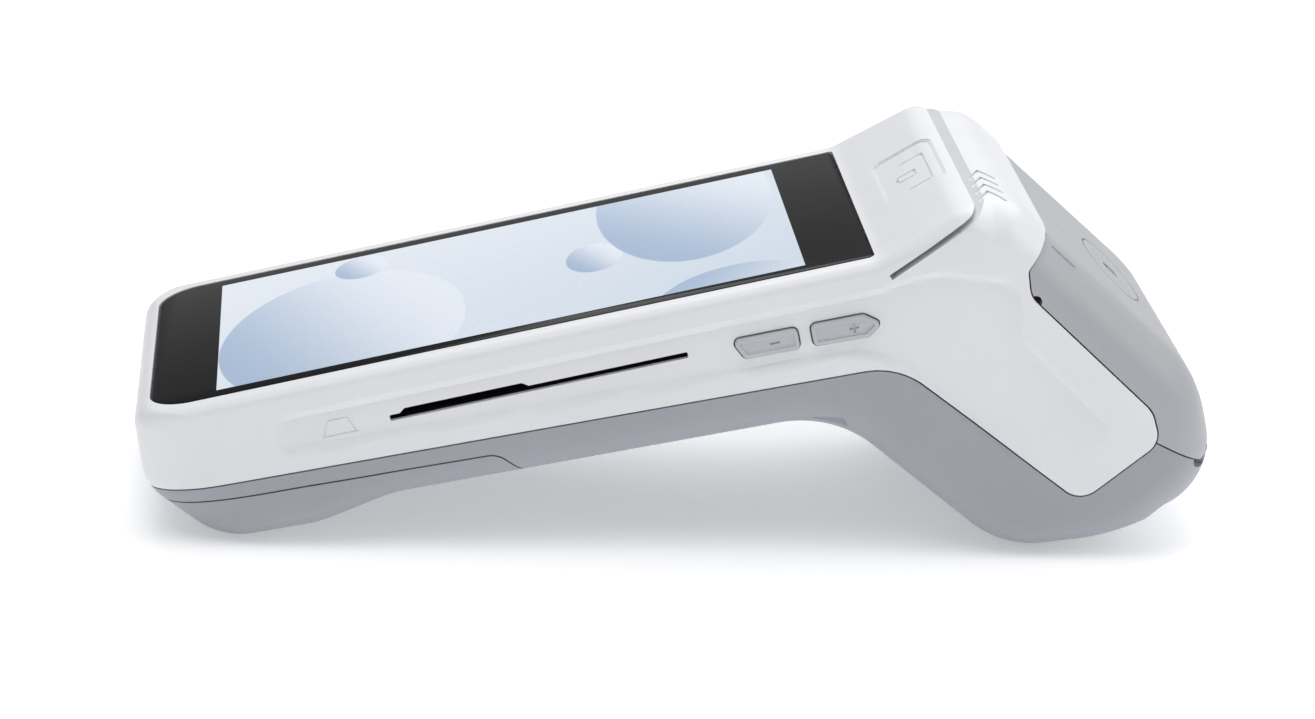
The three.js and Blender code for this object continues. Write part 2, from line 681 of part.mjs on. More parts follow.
const platenShaft = () => barY(SHAFT_RADIUS, 0, 0, -ARM.inner - ARM.thick - 1, GEAR_Y + GEAR_WIDTH + 0.6, 16);
const platenGear = () => gear(PLATEN_TEETH, gearLine, SHAFT_RADIUS + RUNNING_GAP, ...gearSpan);
const idlerGear = () => gear(IDLER_TEETH, idlerStart, SHAFT_RADIUS + RUNNING_GAP, ...gearSpan);

const MOTOR_SHAFT_RADIUS = 0.75;
const frameIn = ARM.inner + 0.2;
const frameOut = frameIn + 1.2;
function motorPinion() {
  const shaft = barY(MOTOR_SHAFT_RADIUS, 0, 0, frameIn - 0.6, GEAR_Y + 0.5, 12);
  return join(gear(PINION_TEETH, gearLine + Math.PI, 0, ...gearSpan), shaft);
}

function stepperMotor() {
  const end = frameIn - SEAM - 0.6;
  const can = barY(MOTOR_RADIUS, 0, 0, end - MOTOR_LENGTH, end, 28);
  const hub = barY(2.2, 0, 0, end - 0.5, end + 0.3, 16);
  const tabs = block(-9.5, 9.5, end - 0.8, end, -1.8, 1.8);
  const holes = bothSides.map((side) => barY(0.9, side * 8.2, 0, end - 2, end + 1, 10));
  return join(can, cut(tabs, ...holes), hub);
}

const HEAT_SINK = { from: -PLATEN_RADIUS - 3.2, to: -PLATEN_RADIUS - 1.6 };
const BAR = { from: -PLATEN_RADIUS - 7.6, to: -PLATEN_RADIUS - 6.3, low: -1.2, high: 9 };
function printerFrame() {
  const far = rounded([
    [158.6, -6.5, 1], [148, -6.5, 2], [140, -13.5, 2], [133.2, -18, 3], [133.6, -28.5, 3], [141, -31, 4],
    [147, -27.5, 3], [156.6, -25.2, 2], [158.9, -12.5, 2],
  ]);
  const near = rounded([
    [158.6, -6.5, 1], [148, -6.5, 2], [146, -11, 2], [150, -19.5, 2], [157.3, -24.6, 1], [158.9, -12.5, 2],
  ]);
  const bar = block(BAR.from, BAR.to, -frameOut, frameOut, BAR.low, BAR.high, backFrame);
  const plate = cut(
    prism(far, frameIn, frameOut),
    barY(1.6, motorPlace.x, motorPlace.z, 0, 50, 16),
  );
  const stud = barY(SHAFT_RADIUS, idlerPlace.x, idlerPlace.z, frameIn + 0.2, gearSpan[1] + 0.5, 16);
  return join(plate, prism(near, -frameOut, -frameIn), bar, stud);
}

// The cradle for the paper roll: a trough open towards the cover, with a cheek at each end.
const bayInner = ROLL_RADIUS + ROLL_PLAY;
const bayHalf = ROLL_WIDTH / 2 + 0.5;
function paperBay() {
  const ring = (radius, from, to, count) =>
    Array.from({ length: count + 1 }, (_, k) => {
      const a = rad(from + ((to - from) * k) / count);
      return { x: BAY_X + radius * Math.cos(a), z: BAY_Z + radius * Math.sin(a) };
    });
  const outer = bayInner + BAY_WALL;
  const trough = [...ring(outer, 132, 318, 22), ...ring(bayInner, 318, 132, 22)];
  const cheek = ring(outer, 132, 318, 22);
  return join(
    prism(trough, -bayHalf - BAY_WALL, bayHalf + BAY_WALL),
    prism(cheek, -bayHalf - BAY_WALL, -bayHalf),
    prism(cheek, bayHalf, bayHalf + BAY_WALL),
  );
}

// ---- Electronics ----

const frameTop = -GLASS_THICK - LEDGE_THICK - 4 * SEAM - 0.3;
function midFrame() {
  const plate = slab([[2, 35.5, 6], [2, -35.5, 6], [133, -35.5, 1], [133, 35.5, 1]], frameTop - 1, frameTop);
  const posts = screwPlaces.map(({ x, y }) => barZ(POST_RADIUS, x, y, POST_TIP, frameTop - 0.5));
  const window = block(64, 92, -14, 14, -10, 0);
  const holes = screwPlaces.map(({ x, y }) => barZ(SCREW_RADIUS + RUNNING_GAP, x, y, -40, -8, 12));
  return cut(join(plate, ...posts), window, ...holes);
}

function mainBoard() {
  const { start, end, half } = { start: 40, end: 134, half: innerHalf - 3.3 };
  const outline = [[start, half, 1], [start, -half, 1], [end, -half, 1], [end, half, 1]];
  const board = slab(outline, BOARD_TOP - BOARD_THICK, BOARD_TOP);
  return cut(board, ...screwPlaces.map(({ x, y }) => barZ(POST_RADIUS + 2 * SEAM, x, y, -30, 0)));
}

function cardReader() {
  const from = CARD_SLOT_START - 1.5;
  const to = CARD_SLOT_START + CARD_SLOT_LENGTH + 1.5;
  const body = block(from, to, -innerHalf + 0.2, 22, CARD_SLOT_Z - 2.6, CARD_SLOT_Z + 2.2);
  const slot = join(
    block(from + 1.5, to - 1.5, -50, CARD_DEPTH - HALF_WIDTH, CARD_SLOT_Z - 0.6, CARD_SLOT_Z + 0.6),
    block(from + 3.9, from + 26.8, -50, 10, CARD_SLOT_Z, CARD_SLOT_Z + 1.4),
  );
  return cut(body, slot);
}

function shieldCan(x0, x1, y0, y1) {
  const top = BOARD_TOP - BOARD_THICK - SEAM;
  const can = block(x0, x1, y0, y1, top - 2.2, top);
  return cut(can, block(x0 + 0.4, x1 - 0.4, y0 + 0.4, y1 - 0.4, top - 1.8, top + 1));
}

function usbPort() {
  const g = (dx, dz) => [
    [USB.x - dx, USB.z - dz], [USB.x + dx, USB.z - dz], [USB.x + dx, USB.z + dz], [USB.x - dx, USB.z + dz],
  ].map(([x, z]) => [x, z, dz * 0.95]);
  const end = HALF_WIDTH - RECESS_DEPTH - 0.2;
  const outer = prism(rounded(g(USB.length / 2, USB.height / 2), 30), end - USB.depth, end);
  const hollow = rounded(g(USB.length / 2 - USB.wall, USB.height / 2 - USB.wall), 30);
  const inner = prism(hollow, end - USB.depth + 1, end + 1);
  const tongue = block(
    USB.x - 3.3, USB.x + 3.3, end - USB.depth + 0.5, end - 0.8, USB.z - USB.wall, USB.z + USB.wall,
  );
  return join(cut(outer, inner), tongue);
}

function antenna() {
  return cut(block(6.7, 7.1, -19, 19, -25, -7), block(6, 8, -16, 16, -22, -10));
}

function helix(radius, wire, from, to, turns) {
  class Coil extends THREE.Curve {
    getPoint(t) {
      const a = 2 * Math.PI * turns * t;
      return new THREE.Vector3(from + (to - from) * t, radius * Math.cos(a), radius * Math.sin(a));
    }
  }
  const corner = (k) => new THREE.Vector2(wire * Math.cos(rad(60 * k)), wire * Math.sin(rad(60 * k)));
  const section = new THREE.Shape(Array.from({ length: 6 }, (_, k) => corner(k)));
  return solid(new THREE.ExtrudeGeometry(section, { steps: turns * 10, extrudePath: new Coil() }));
}

// ---- Assembly ----

const WHITE = { color: 0xe6e7ea, roughness: 0.5, metalness: 0 };
const GREY = { color: 0x9a9da5, roughness: 0.55, metalness: 0 };
const LIGHT_GREY = { color: 0xb8babf, roughness: 0.55, metalness: 0 };
const KEY_GREY = { color: 0xa3a5ab, roughness: 0.45, metalness: 0.1 };
const GLASS = { color: 0x101214, roughness: 0.08, metalness: 0 };
const DARK = { color: 0x26282b, roughness: 0.6, metalness: 0 };
const STEEL = { color: 0xb9bcc0, roughness: 0.35, metalness: 0.9 };
const BOARD = { color: 0x1f5136, roughness: 0.6, metalness: 0 };
const RUBBER = { color: 0x2b2c2e, roughness: 0.9, metalness: 0 };
const BRASS = { color: 0xc9a14f, roughness: 0.35, metalness: 0.9 };
const NYLON = { color: 0xd9d6cc, roughness: 0.6, metalness: 0 };
const FOIL = { color: 0x3a3d44, roughness: 0.5, metalness: 0.1 };

function mesh(name, look, body) {
  const made = body.getMesh();
  const g = new THREE.BufferGeometry();
  g.setAttribute("position", new THREE.BufferAttribute(new Float32Array(made.vertProperties), 3));
  g.setIndex(new THREE.BufferAttribute(new Uint32Array(made.triVerts), 1));
  g.computeVertexNormals();
  const result = new THREE.Mesh(g, new THREE.MeshStandardMaterial(look));
  result.name = name;
  return result;
}

function group(frame, ...children) {
  const made = new THREE.Group();
  if (frame) {
    made.position.set(frame.x, 0, frame.z);
    made.rotation.y = -rad(frame.angle ?? 0);
  }
  return made.add(...children);
}

function casingGroup() {
  return group(
    null,
    mesh("front_housing", WHITE, frontHousing()),
    mesh("rear_housing", GREY, rearHousing()),
    mesh("battery_cover", GREY, batteryCover()),
    mesh("paper_cover", LIGHT_GREY, paperCover()),
    mesh("hinge_pin_near", STEEL, hingePin(-1)),
    mesh("hinge_pin_far", STEEL, hingePin(1)),
    ...Object.entries(KEYS).map(([name, key]) => mesh(name, KEY_GREY, sideKey(key))),
    ...screwPlaces.map(({ x, y, seat }, k) => mesh(`housing_screw_${k + 1}`, STEEL, screw(x, y, seat))),
    ...bothSides.flatMap((side) => [
      mesh(side < 0 ? "front_foot_near" : "front_foot_far", RUBBER, foot(FOOT_PLACES.door, side)),
      mesh(side < 0 ? "rear_foot_near" : "rear_foot_far", RUBBER, foot(FOOT_PLACES.head, side)),
    ]),
  );
}

function hingePin(side) {
  const [from, to] = [BARREL_HALF - 2.2, BARREL_HALF + 2.4];
  return side < 0
    ? barY(PIN_RADIUS, HINGE_X, HINGE_Z, -to, -from, 12)
    : barY(PIN_RADIUS, HINGE_X, HINGE_Z, from, to, 12);
}

function screw(x, y, seat) {
  return join(
    cut(
      barZ(SCREW_HEAD_RADIUS, x, y, seat - SCREW_HEAD_THICK - 0.05, seat - 0.05, 16),
      block(x - 1.3, x + 1.3, y - 0.3, y + 0.3, seat - 3, seat - SCREW_HEAD_THICK + 0.5),
      block(x - 0.3, x + 0.3, y - 1.3, y + 1.3, seat - 3, seat - SCREW_HEAD_THICK + 0.5),
    ),
    barZ(SCREW_RADIUS, x, y, seat - 0.3, -8.6, 12),
  );
}

const foot = (frame, side) => footSolid(frame, side * FOOT_SPREAD, FOOT_RADIUS, 0, FOOT_THICK);

function displayGroup() {
  const glass = slab(glassOutline(0), -GLASS_THICK, 0);
  const top = -GLASS_THICK - SEAM;
  const lcd = block(
    LCD_MARGIN, GLASS_LENGTH - LCD_MARGIN, -LCD_WIDTH / 2, LCD_WIDTH / 2, top - LCD_THICK, top,
  );
  return group(null, mesh("display_glass", GLASS, glass), mesh("lcd_panel", STEEL, lcd));
}

function electronicsGroup() {
  const packTop = trayFloor - SEAM;
  const [start, end, half] = [BATTERY.start, BATTERY.start + BATTERY.length, BATTERY.width / 2];
  const packOutline = [[start, half, 2], [start, -half, 2], [end, -half, 2], [end, half, 2]];
  return group(
    null,
    mesh("mid_frame", STEEL, midFrame()),
    mesh("main_board", BOARD, mainBoard()),
    mesh("card_reader", DARK, cardReader()),
    mesh("card_contacts", BRASS, block(62, 76, -2, 10, CARD_SLOT_Z + 2.5, CARD_SLOT_Z + 3.1)),
    mesh("shield_can_1", STEEL, shieldCan(74, 92, -16, 12)),
    mesh("shield_can_2", STEEL, shieldCan(96, 122, -14, 16)),
    mesh("coin_cell", STEEL, barZ(6, 116, -16, BOARD_TOP + SEAM, BOARD_TOP + SEAM + 3, 24)),
    mesh("loudspeaker", DARK, block(73, 91, 15.5, 27.5, -22.5, BOARD_TOP - BOARD_THICK - SEAM)),
    mesh("usb_port", STEEL, usbPort()),
    mesh("side_key_board", BOARD, block(105.5, 135, 1.9 - innerHalf, 2.9 - innerHalf, -12.9, -7.4)),
    mesh("power_key_board", BOARD, block(110, 128, innerHalf - 2.9, innerHalf - 1.9, -12.9, -7.4)),
    mesh("battery_pack", FOIL, slab(packOutline, packTop - BATTERY.thick, packTop)),
  );
}

function swipeGroup() {
  const { length, width, deep } = SWIPE_HEAD;
  const x = SWIPE_HEAD_AT;
  const face = -SWIPE_HEIGHT / 2 + 0.2;
  const head = block(x - length / 2, x + length / 2, -width / 2, width / 2, face - deep, face);
  const spring = block(x - 4, x + 4, -15, 15, face - deep - 0.9, face - deep - 0.5);
  return group(swipeFrame, mesh("magstripe_head", STEEL, head), mesh("magstripe_spring", STEEL, spring));
}

function printerGroup() {
  const contact = -PLATEN_RADIUS - SEAM;
  const inBack = group(
    backFrame,
    mesh("print_head", DARK, block(contact - 1, contact, -29, 29, -4, 4)),
    mesh("heat_sink", STEEL, block(HEAT_SINK.from, HEAT_SINK.to, -30, 30, -4, 6)),
    ...bothSides.map((side) => {
      const spring = mesh(
        side < 0 ? "head_spring_near" : "head_spring_far",
        STEEL,
        helix(1.2, 0.2, BAR.to + 0.5, HEAT_SINK.from - 0.5, 3),
      );
      spring.position.set(0, side * 18, 2);
      return spring;
    }),
    mesh("tear_bar", STEEL, block(6.6, 7.1, -platenHalf, platenHalf, 0.5, 4.2)),
    mesh("contactless_antenna", BRASS, antenna()),
  );
  return group(
    null,
    inBack,
    mesh("printer_frame", STEEL, printerFrame()),
    mesh("paper_bay", DARK, paperBay()),
    group({ x: PLATEN_X, z: PLATEN_Z },
      mesh("platen_roller", RUBBER, platenRoller()),
      mesh("platen_shaft", STEEL, platenShaft()),
      mesh("platen_gear", NYLON, platenGear())),
    group(idlerPlace, mesh("idler_gear", NYLON, idlerGear())),
    group(motorPlace,
      mesh("motor_pinion", BRASS, motorPinion()),
      mesh("stepper_motor", STEEL, stepperMotor())),
  );
}

const tilted = group(null, casingGroup(), displayGroup(), electronicsGroup(), swipeGroup(), printerGroup());
tilted.rotation.y = -tilt;
const spanX = casingOutline.map(tableX);
tilted.position.set(-(Math.min(...spanX) + Math.max(...spanX)) / 2, 0, -tableLevel);

const terminal = new THREE.Group();
terminal.add(tilted);
export default terminal;
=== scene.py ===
# Card payment terminal: the visual model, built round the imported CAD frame.
# The casing is drawn like the CAD part, in the display's own frame in millimetres: X along the display
# from the user's end, Y across it, Z square out of the glass. new_object() stands it up in the row frame.
import math

import bpy
import numpy as np
from mathutils import Matrix, Vector
from mathutils.geometry import delaunay_2d_cdt


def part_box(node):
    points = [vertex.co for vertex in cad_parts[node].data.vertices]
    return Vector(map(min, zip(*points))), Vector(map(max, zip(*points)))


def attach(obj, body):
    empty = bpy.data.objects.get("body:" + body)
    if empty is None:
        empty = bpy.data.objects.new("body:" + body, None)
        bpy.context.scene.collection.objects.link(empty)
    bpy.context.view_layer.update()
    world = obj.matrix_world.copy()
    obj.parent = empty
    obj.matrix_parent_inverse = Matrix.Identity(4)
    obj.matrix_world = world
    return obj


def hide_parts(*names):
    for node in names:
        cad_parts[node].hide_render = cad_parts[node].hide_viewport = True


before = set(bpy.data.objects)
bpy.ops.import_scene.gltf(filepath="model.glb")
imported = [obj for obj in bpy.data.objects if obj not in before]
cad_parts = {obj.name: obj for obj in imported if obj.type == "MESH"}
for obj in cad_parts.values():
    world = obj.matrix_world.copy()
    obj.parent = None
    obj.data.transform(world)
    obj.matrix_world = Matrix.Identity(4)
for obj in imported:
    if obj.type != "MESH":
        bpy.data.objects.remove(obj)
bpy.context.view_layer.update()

# ---- Frame and driving dimensions, millimetres ----
MM = 0.001
TILT = math.radians(13.8)
HALF_WIDTH = 39.0
WALL = 2.2
SEAM = 0.3
USER_END = -4.6
PLAN_CORNER = 9.5
GLASS_LENGTH, GLASS_WIDTH, GLASS_THICK = 136.5, 68.5, 1.9
GLASS_CORNER, GLASS_HEAD_CORNER = 8.0, 1.2
RECESS_DEPTH = 0.9
RECESS_SINK = 1.15 * RECESS_DEPTH  # the side recess itself; keys and marks are placed from RECESS_DEPTH
HINGE = (190.1, -52.7)
BARREL_RADIUS, BARREL_HALF = 2.4, 29.0
PLATEN = (164.0, -13.8)
PAPER_HALF = 57.5 / 2
BACK_ANGLE = 54.5  # the back's slope, degrees
BACK_FRAME = (90 - BACK_ANGLE, PLATEN)  # a frame whose X points out of the back, from the platen
SWIPE_FRAME = (23.5, (138.6, -3.2))  # a frame whose X runs up the stripe slot, from its bottom
SWIPE_HEIGHT = 1.1
ACROSS = (-HALF_WIDTH - 6, HALF_WIDTH + 6)  # wider than the casing on both sides


def origin_offset():
    """Where the display frame's origin stands in the row frame, in millimetres, found from the glass."""
    low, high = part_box("display_glass")
    x = low[0] / MM
    z = low[2] / MM + GLASS_THICK * math.cos(TILT)
    return x, z


OFFSET_X, OFFSET_Z = origin_offset()
STAND = (
    Matrix.Scale(MM, 4)
    @ Matrix.Translation((OFFSET_X, 0, OFFSET_Z))
    @ Matrix.Rotation(-TILT, 4, "Y")
)


# ---- Outlines ----
def rounded(corners, step):
    """Rounds the corners (x, z, radius, ...rest) of a closed outline with arcs of about step degrees a side.

    A point keeps its corner's rest, and a corner with no radius stays sharp.
    """
    points = []
    count = len(corners)
    for i, corner in enumerate(corners):
        x, z = corner[:2]
        radius = corner[2] if len(corner) > 2 else 0
        rest = corner[3:]
        here = Vector((x, z))
        back = (Vector(corners[i - 1][:2]) - here).normalized()
        on = (Vector(corners[(i + 1) % count][:2]) - here).normalized()
        turn = math.pi - math.acos(max(-1.0, min(1.0, back.dot(on))))
        if not radius or turn < 0.01:
            points.append([x, z, *rest])
            continue
        bisector = (back + on).normalized()
        centre = here + bisector * (radius / math.cos(turn / 2))
        side = 1.0 if back.x * on.y - back.y * on.x > 0 else -1.0
        steps = max(1, math.ceil(math.degrees(turn) / step))
        for k in range(steps + 1):
            swing = -side * (k / steps - 0.5) * turn
            arm = Matrix.Rotation(swing, 2) @ (-bisector)
            points.append([centre.x + arm.x * radius, centre.y + arm.y * radius, *rest])
    return np.array(points)


def outward(xz):
    """Outward directions of an anticlockwise outline's points, long enough to keep its sides parallel."""
    first = xz - np.roll(xz, 1, axis=0)
    second = np.roll(xz, -1, axis=0) - xz
    first = np.stack([first[:, 1], -first[:, 0]], 1) / np.linalg.norm(first, axis=1)[:, None]
    second = np.stack([second[:, 1], -second[:, 0]], 1) / np.linalg.norm(second, axis=1)[:, None]
    middle = first + second
    middle /= np.linalg.norm(middle, axis=1)[:, None]
    return middle / np.maximum(0.5, (middle * first).sum(1))[:, None]


def moved(points, distance):
    """Moves an outline outwards by a distance, or by one distance for each point."""
    out = points.copy()
    out[:, :2] += outward(points[:, :2]) * np.reshape(distance, (-1, 1))
    return out


def refined(points, step):
    """Adds evenly spaced points where an outline's points are further apart than step."""
    out = []
    for a, b in zip(points, np.roll(points, -1, axis=0)):
        pieces = max(1, math.ceil(np.hypot(*(b[:2] - a[:2])) / step))
        out += [a + (b - a) * k / pieces for k in range(pieces)]
    return np.array(out)


# ---- Mesh helpers ----
def new_object(name, vertices, faces, standing=True):
    """A mesh object from points in the display frame (or already in metres, if not standing)."""
    mesh = bpy.data.meshes.new(name)
    mesh.from_pydata([tuple(v) for v in vertices], [], [tuple(f) for f in faces])
    if standing:
        mesh.transform(STAND)
    mesh.update()
    obj = bpy.data.objects.new(name, mesh)
    bpy.context.scene.collection.objects.link(obj)
    return obj


def lofted(name, lower, upper, standing=True):
    """A closed solid between two rings, each anticlockwise when seen from the upper one's side."""
    n = len(lower)
    faces = [(i, (i + 1) % n, n + (i + 1) % n, n + i) for i in range(n)]
    faces += [tuple(range(n - 1, -1, -1)), tuple(range(n, 2 * n))]
    return new_object(name, [*lower, *upper], faces, standing)


def circle(x, z, radius, sides):
    """Points round a circle."""
    angles = [k * math.tau / sides for k in range(sides)]
    return [(x + radius * math.cos(a), z + radius * math.sin(a)) for a in angles]


def prism(name, points, y0, y1):
    """A side-view outline carried across from y0 to y1."""
    n = len(points)
    ring = [(p[0], y0, p[1]) for p in points] + [(p[0], y1, p[1]) for p in points]
    faces = [(i, n + i, n + (i + 1) % n, (i + 1) % n) for i in range(n)]
    faces += [tuple(range(n)), tuple(range(2 * n - 1, n - 1, -1))]
    return new_object(name, ring, faces)


def slab(name, points, z0, z1):
    """A top-view outline carried up from z0 to z1."""
    return lofted(name, [(p[0], p[1], z0) for p in points], [(p[0], p[1], z1) for p in points])


def turned(x, y, z, turn, origin):
    """A point given in a frame turned up by an angle in the side view, with its origin at (x, z)."""
    a = math.radians(turn)
    return (
        origin[0] + x * math.cos(a) - z * math.sin(a),
        y,
        origin[1] + x * math.sin(a) + z * math.cos(a),
    )


def box_solid(name, x, y, z, turn=0.0, origin=(0.0, 0.0)):
    """A block between pairs of limits, in a turned frame."""
    corners = [turned(x[i], y[j], z[k], turn, origin) for i in (0, 1) for j in (0, 1) for k in (0, 1)]
    faces = [(0, 1, 3, 2), (4, 6, 7, 5), (0, 4, 5, 1), (2, 3, 7, 6), (0, 2, 6, 4), (1, 5, 7, 3)]
    return new_object(name, corners, faces)


def carve(target, tool, operation="DIFFERENCE"):
    """Cuts, joins or intersects target with tool, and removes the tool."""
    modifier = target.modifiers.new("carve", "BOOLEAN")
    modifier.object = tool
    modifier.operation = operation
    modifier.solver = "MANIFOLD"
    bake(target)
    bpy.data.objects.remove(tool)
    return target


def bake(obj):
    """Applies an object's modifiers to its mesh."""
    depsgraph = bpy.context.evaluated_depsgraph_get()
    mesh = bpy.data.meshes.new_from_object(obj.evaluated_get(depsgraph))
    obj.modifiers.clear()
    obj.data = mesh
    return obj


def bevel(obj, width, limit):
    """Rounds edges sharper than limit, in degrees, by a width in millimetres."""
    modifier = obj.modifiers.new("bevel", "BEVEL")
    modifier.width = width * MM
    modifier.segments = 3
    modifier.limit_method = "ANGLE"
    modifier.angle_limit = math.radians(limit)
    return bake(obj)


def finish_mesh(obj, angle=28.0):
    """Smooth shading, with the edges sharper than angle, in degrees, left sharp."""
    mesh = obj.data
    mesh.polygons.foreach_set("use_smooth", [True] * len(mesh.polygons))
    mesh.set_sharp_from_angle(angle=math.radians(angle))
    mesh.update()
    return obj


def copy_of(obj, name):
    """A second object with a mesh of its own."""
    twin = obj.copy()
    twin.data = obj.data.copy()
    twin.name = name
    bpy.context.scene.collection.objects.link(twin)
    return twin


# ---- Casing form ----
FINE, COARSE = (3.0, 2.0), (9.0, 6.0)  # degrees between an arc's points, and millimetres between others
BACK_SLOPE = math.tan(math.radians(BACK_ANGLE))
LEG_SLOPE = math.tan(math.radians(52.0))
BROW = (163.9, 4.5)
REAR_X, HEAD_DEPTH, BELLY_DEPTH, GRIP_DEPTH, WAIST_DEPTH = 192.9, 65.2, 28.8, 28.7, 26.4
LEG_TOP_X = 123.4
LEG_FOOT_X = LEG_TOP_X + (HEAD_DEPTH - 2.2 - BELLY_DEPTH) / LEG_SLOPE
CASING = [  # side view, anticlockwise: x, z, radius, and how far the edge round rises and runs
    (USER_END + 1.1, 0.0, 3.5, 1.9, 2.5),
    (USER_END, -15.0, 9.0, 4.0, 8.0),
    (6.4, -GRIP_DEPTH + 0.4, 13.0, 8.0, 8.0),
    (25.0, -GRIP_DEPTH - 0.4, 24.0, 8.0, 8.0),
    (40.0, -WAIST_DEPTH, 24.0, 8.0, 8.0),
    (LEG_TOP_X, -BELLY_DEPTH - 0.4, 22.0, 8.0, 8.0),
    (LEG_FOOT_X, -HEAD_DEPTH + 2.2, 19.0, 8.0, 8.0),
    (171.0, -HEAD_DEPTH, 42.0, 8.0, 8.0),
    (REAR_X + 0.3, -59.8, 14.0, 9.0, 12.0),
    (REAR_X, BROW[1] - (REAR_X - BROW[0]) * BACK_SLOPE, 24.0, 8.5, 12.0),
    (BROW[0], BROW[1], 9.0, 7.5, 12.0),
    (153.5, 5.6, 9.0, 3.5, 5.0),
    (GLASS_LENGTH + 0.5, 0.0, 12.0, 1.9, 2.5),
]
LID_SINK = 0.9  # how far the paper cover lies inside the casing's back
LID_DROP = LID_SINK / math.cos(math.radians(BACK_ANGLE))
LID = [(x, z - LID_DROP, *rest) if x in (REAR_X, BROW[0]) else (x, z, *rest) for x, z, *rest in CASING]
RECESS = [  # side view of the recess round the keys and the card slot
    (22, -12.3, 2.4), (134, -16.7, 16), (160.5, -49.5, 3), (174.6, -41.8, 3),
    (160, -19.5, 7), (161.6, -9.2, 4), (146, -3.8, 16), (136, -5.3, 8), (22, -5.3, 2.4),
]
FRONT_REGION = [  # side view of what belongs to the front housing
    (USER_END - 20, -14.3), (24, -16.1), (136.8, -20.25, 14), (165.8, -54.6, 4.5), (182.4, -46.3, 4),
    (182, -40, 6), (163.3, -12.6, 5), (163.7, -7.5, 1.5), (183.7, 8.5), (183.7, 40), (USER_END - 20, 40),
]
COVER_REGION = [  # side view of what belongs to the paper cover
    (176, -41.3), (HINGE[0] - 0.2, HINGE[1]), (REAR_X + 20, HINGE[1]), (REAR_X + 20, 30), (150, 30),
    (150, -20),
]
DOOR_REGION = [  # side view of what belongs to the battery cover
    (USER_END - 20, -17.6), (USER_END - 20, -60), (69, -60), (65.5, -27.8), (61, -21.2, 4), (24, -19.4),
]


def smooth_step(t):
    """0 below 0, 1 above 1, and an even S between them."""
    t = np.clip(t, 0.0, 1.0)
    return t * t * (3 - 2 * t)


def outline_distance(points, outline):
    """Signed distance from points to a closed outline, positive inside."""
    best = np.full(len(points), 1e9)
    inside = np.zeros(len(points), bool)
    for a, b in zip(outline, np.roll(outline, -1, axis=0)):
        edge = b - a
        t = np.clip(((points - a) @ edge) / max(edge @ edge, 1e-9), 0, 1)
        best = np.minimum(best, np.linalg.norm(points - a - t[:, None] * edge, axis=1))
        crosses = (a[1] > points[:, 1]) != (b[1] > points[:, 1])
        with np.errstate(divide="ignore", invalid="ignore"):
            x = a[0] + (points[:, 1] - a[1]) * edge[0] / edge[1]
        inside ^= crosses & (points[:, 0] < x)
    return np.where(inside, best, -best)


def recess_depth(xz):
    """How far the side recess sinks at points of the side view; it fades out down the head's wing."""
    inside = outline_distance(xz, rounded(RECESS, 6)[:, :2])
    fade = smooth_step((xz[:, 1] + 49.0) / 17.0) * smooth_step((xz[:, 0] - 19.0) / 7.0)
    return RECESS_SINK * smooth_step((inside + 0.5) / 1.4) * fade


def cross_levels(half, corner, step):
    """Distances from the middle for the casing's rings: even as far as the plan corner, then round it."""
    even = np.linspace(0, half - corner, 12)[:-1]
    spread = np.radians(np.arange(0, 90.1, step))
    return np.concatenate([even, half - corner + corner * np.sin(spread)])


def side_sheet(ring, grid):
    """A side face as triangles over a grid of points: all its points, the ring's own first, and its faces."""
    low, high = ring.min(0), ring.max(0)
    xs, zs = np.meshgrid(np.arange(low[0], high[0], grid), np.arange(low[1], high[1], grid))
    within = np.column_stack([xs.ravel(), zs.ravel()])
    within = within[outline_distance(within, ring) > 0.6 * grid]
    flat = [Vector(p) for p in np.vstack([ring, within])]
    n = len(ring)
    sheet = delaunay_2d_cdt(flat, [(i, (i + 1) % n) for i in range(n)], [], 1, 1e-6)
    return np.array([tuple(p) for p in sheet[0]]), sheet[2]


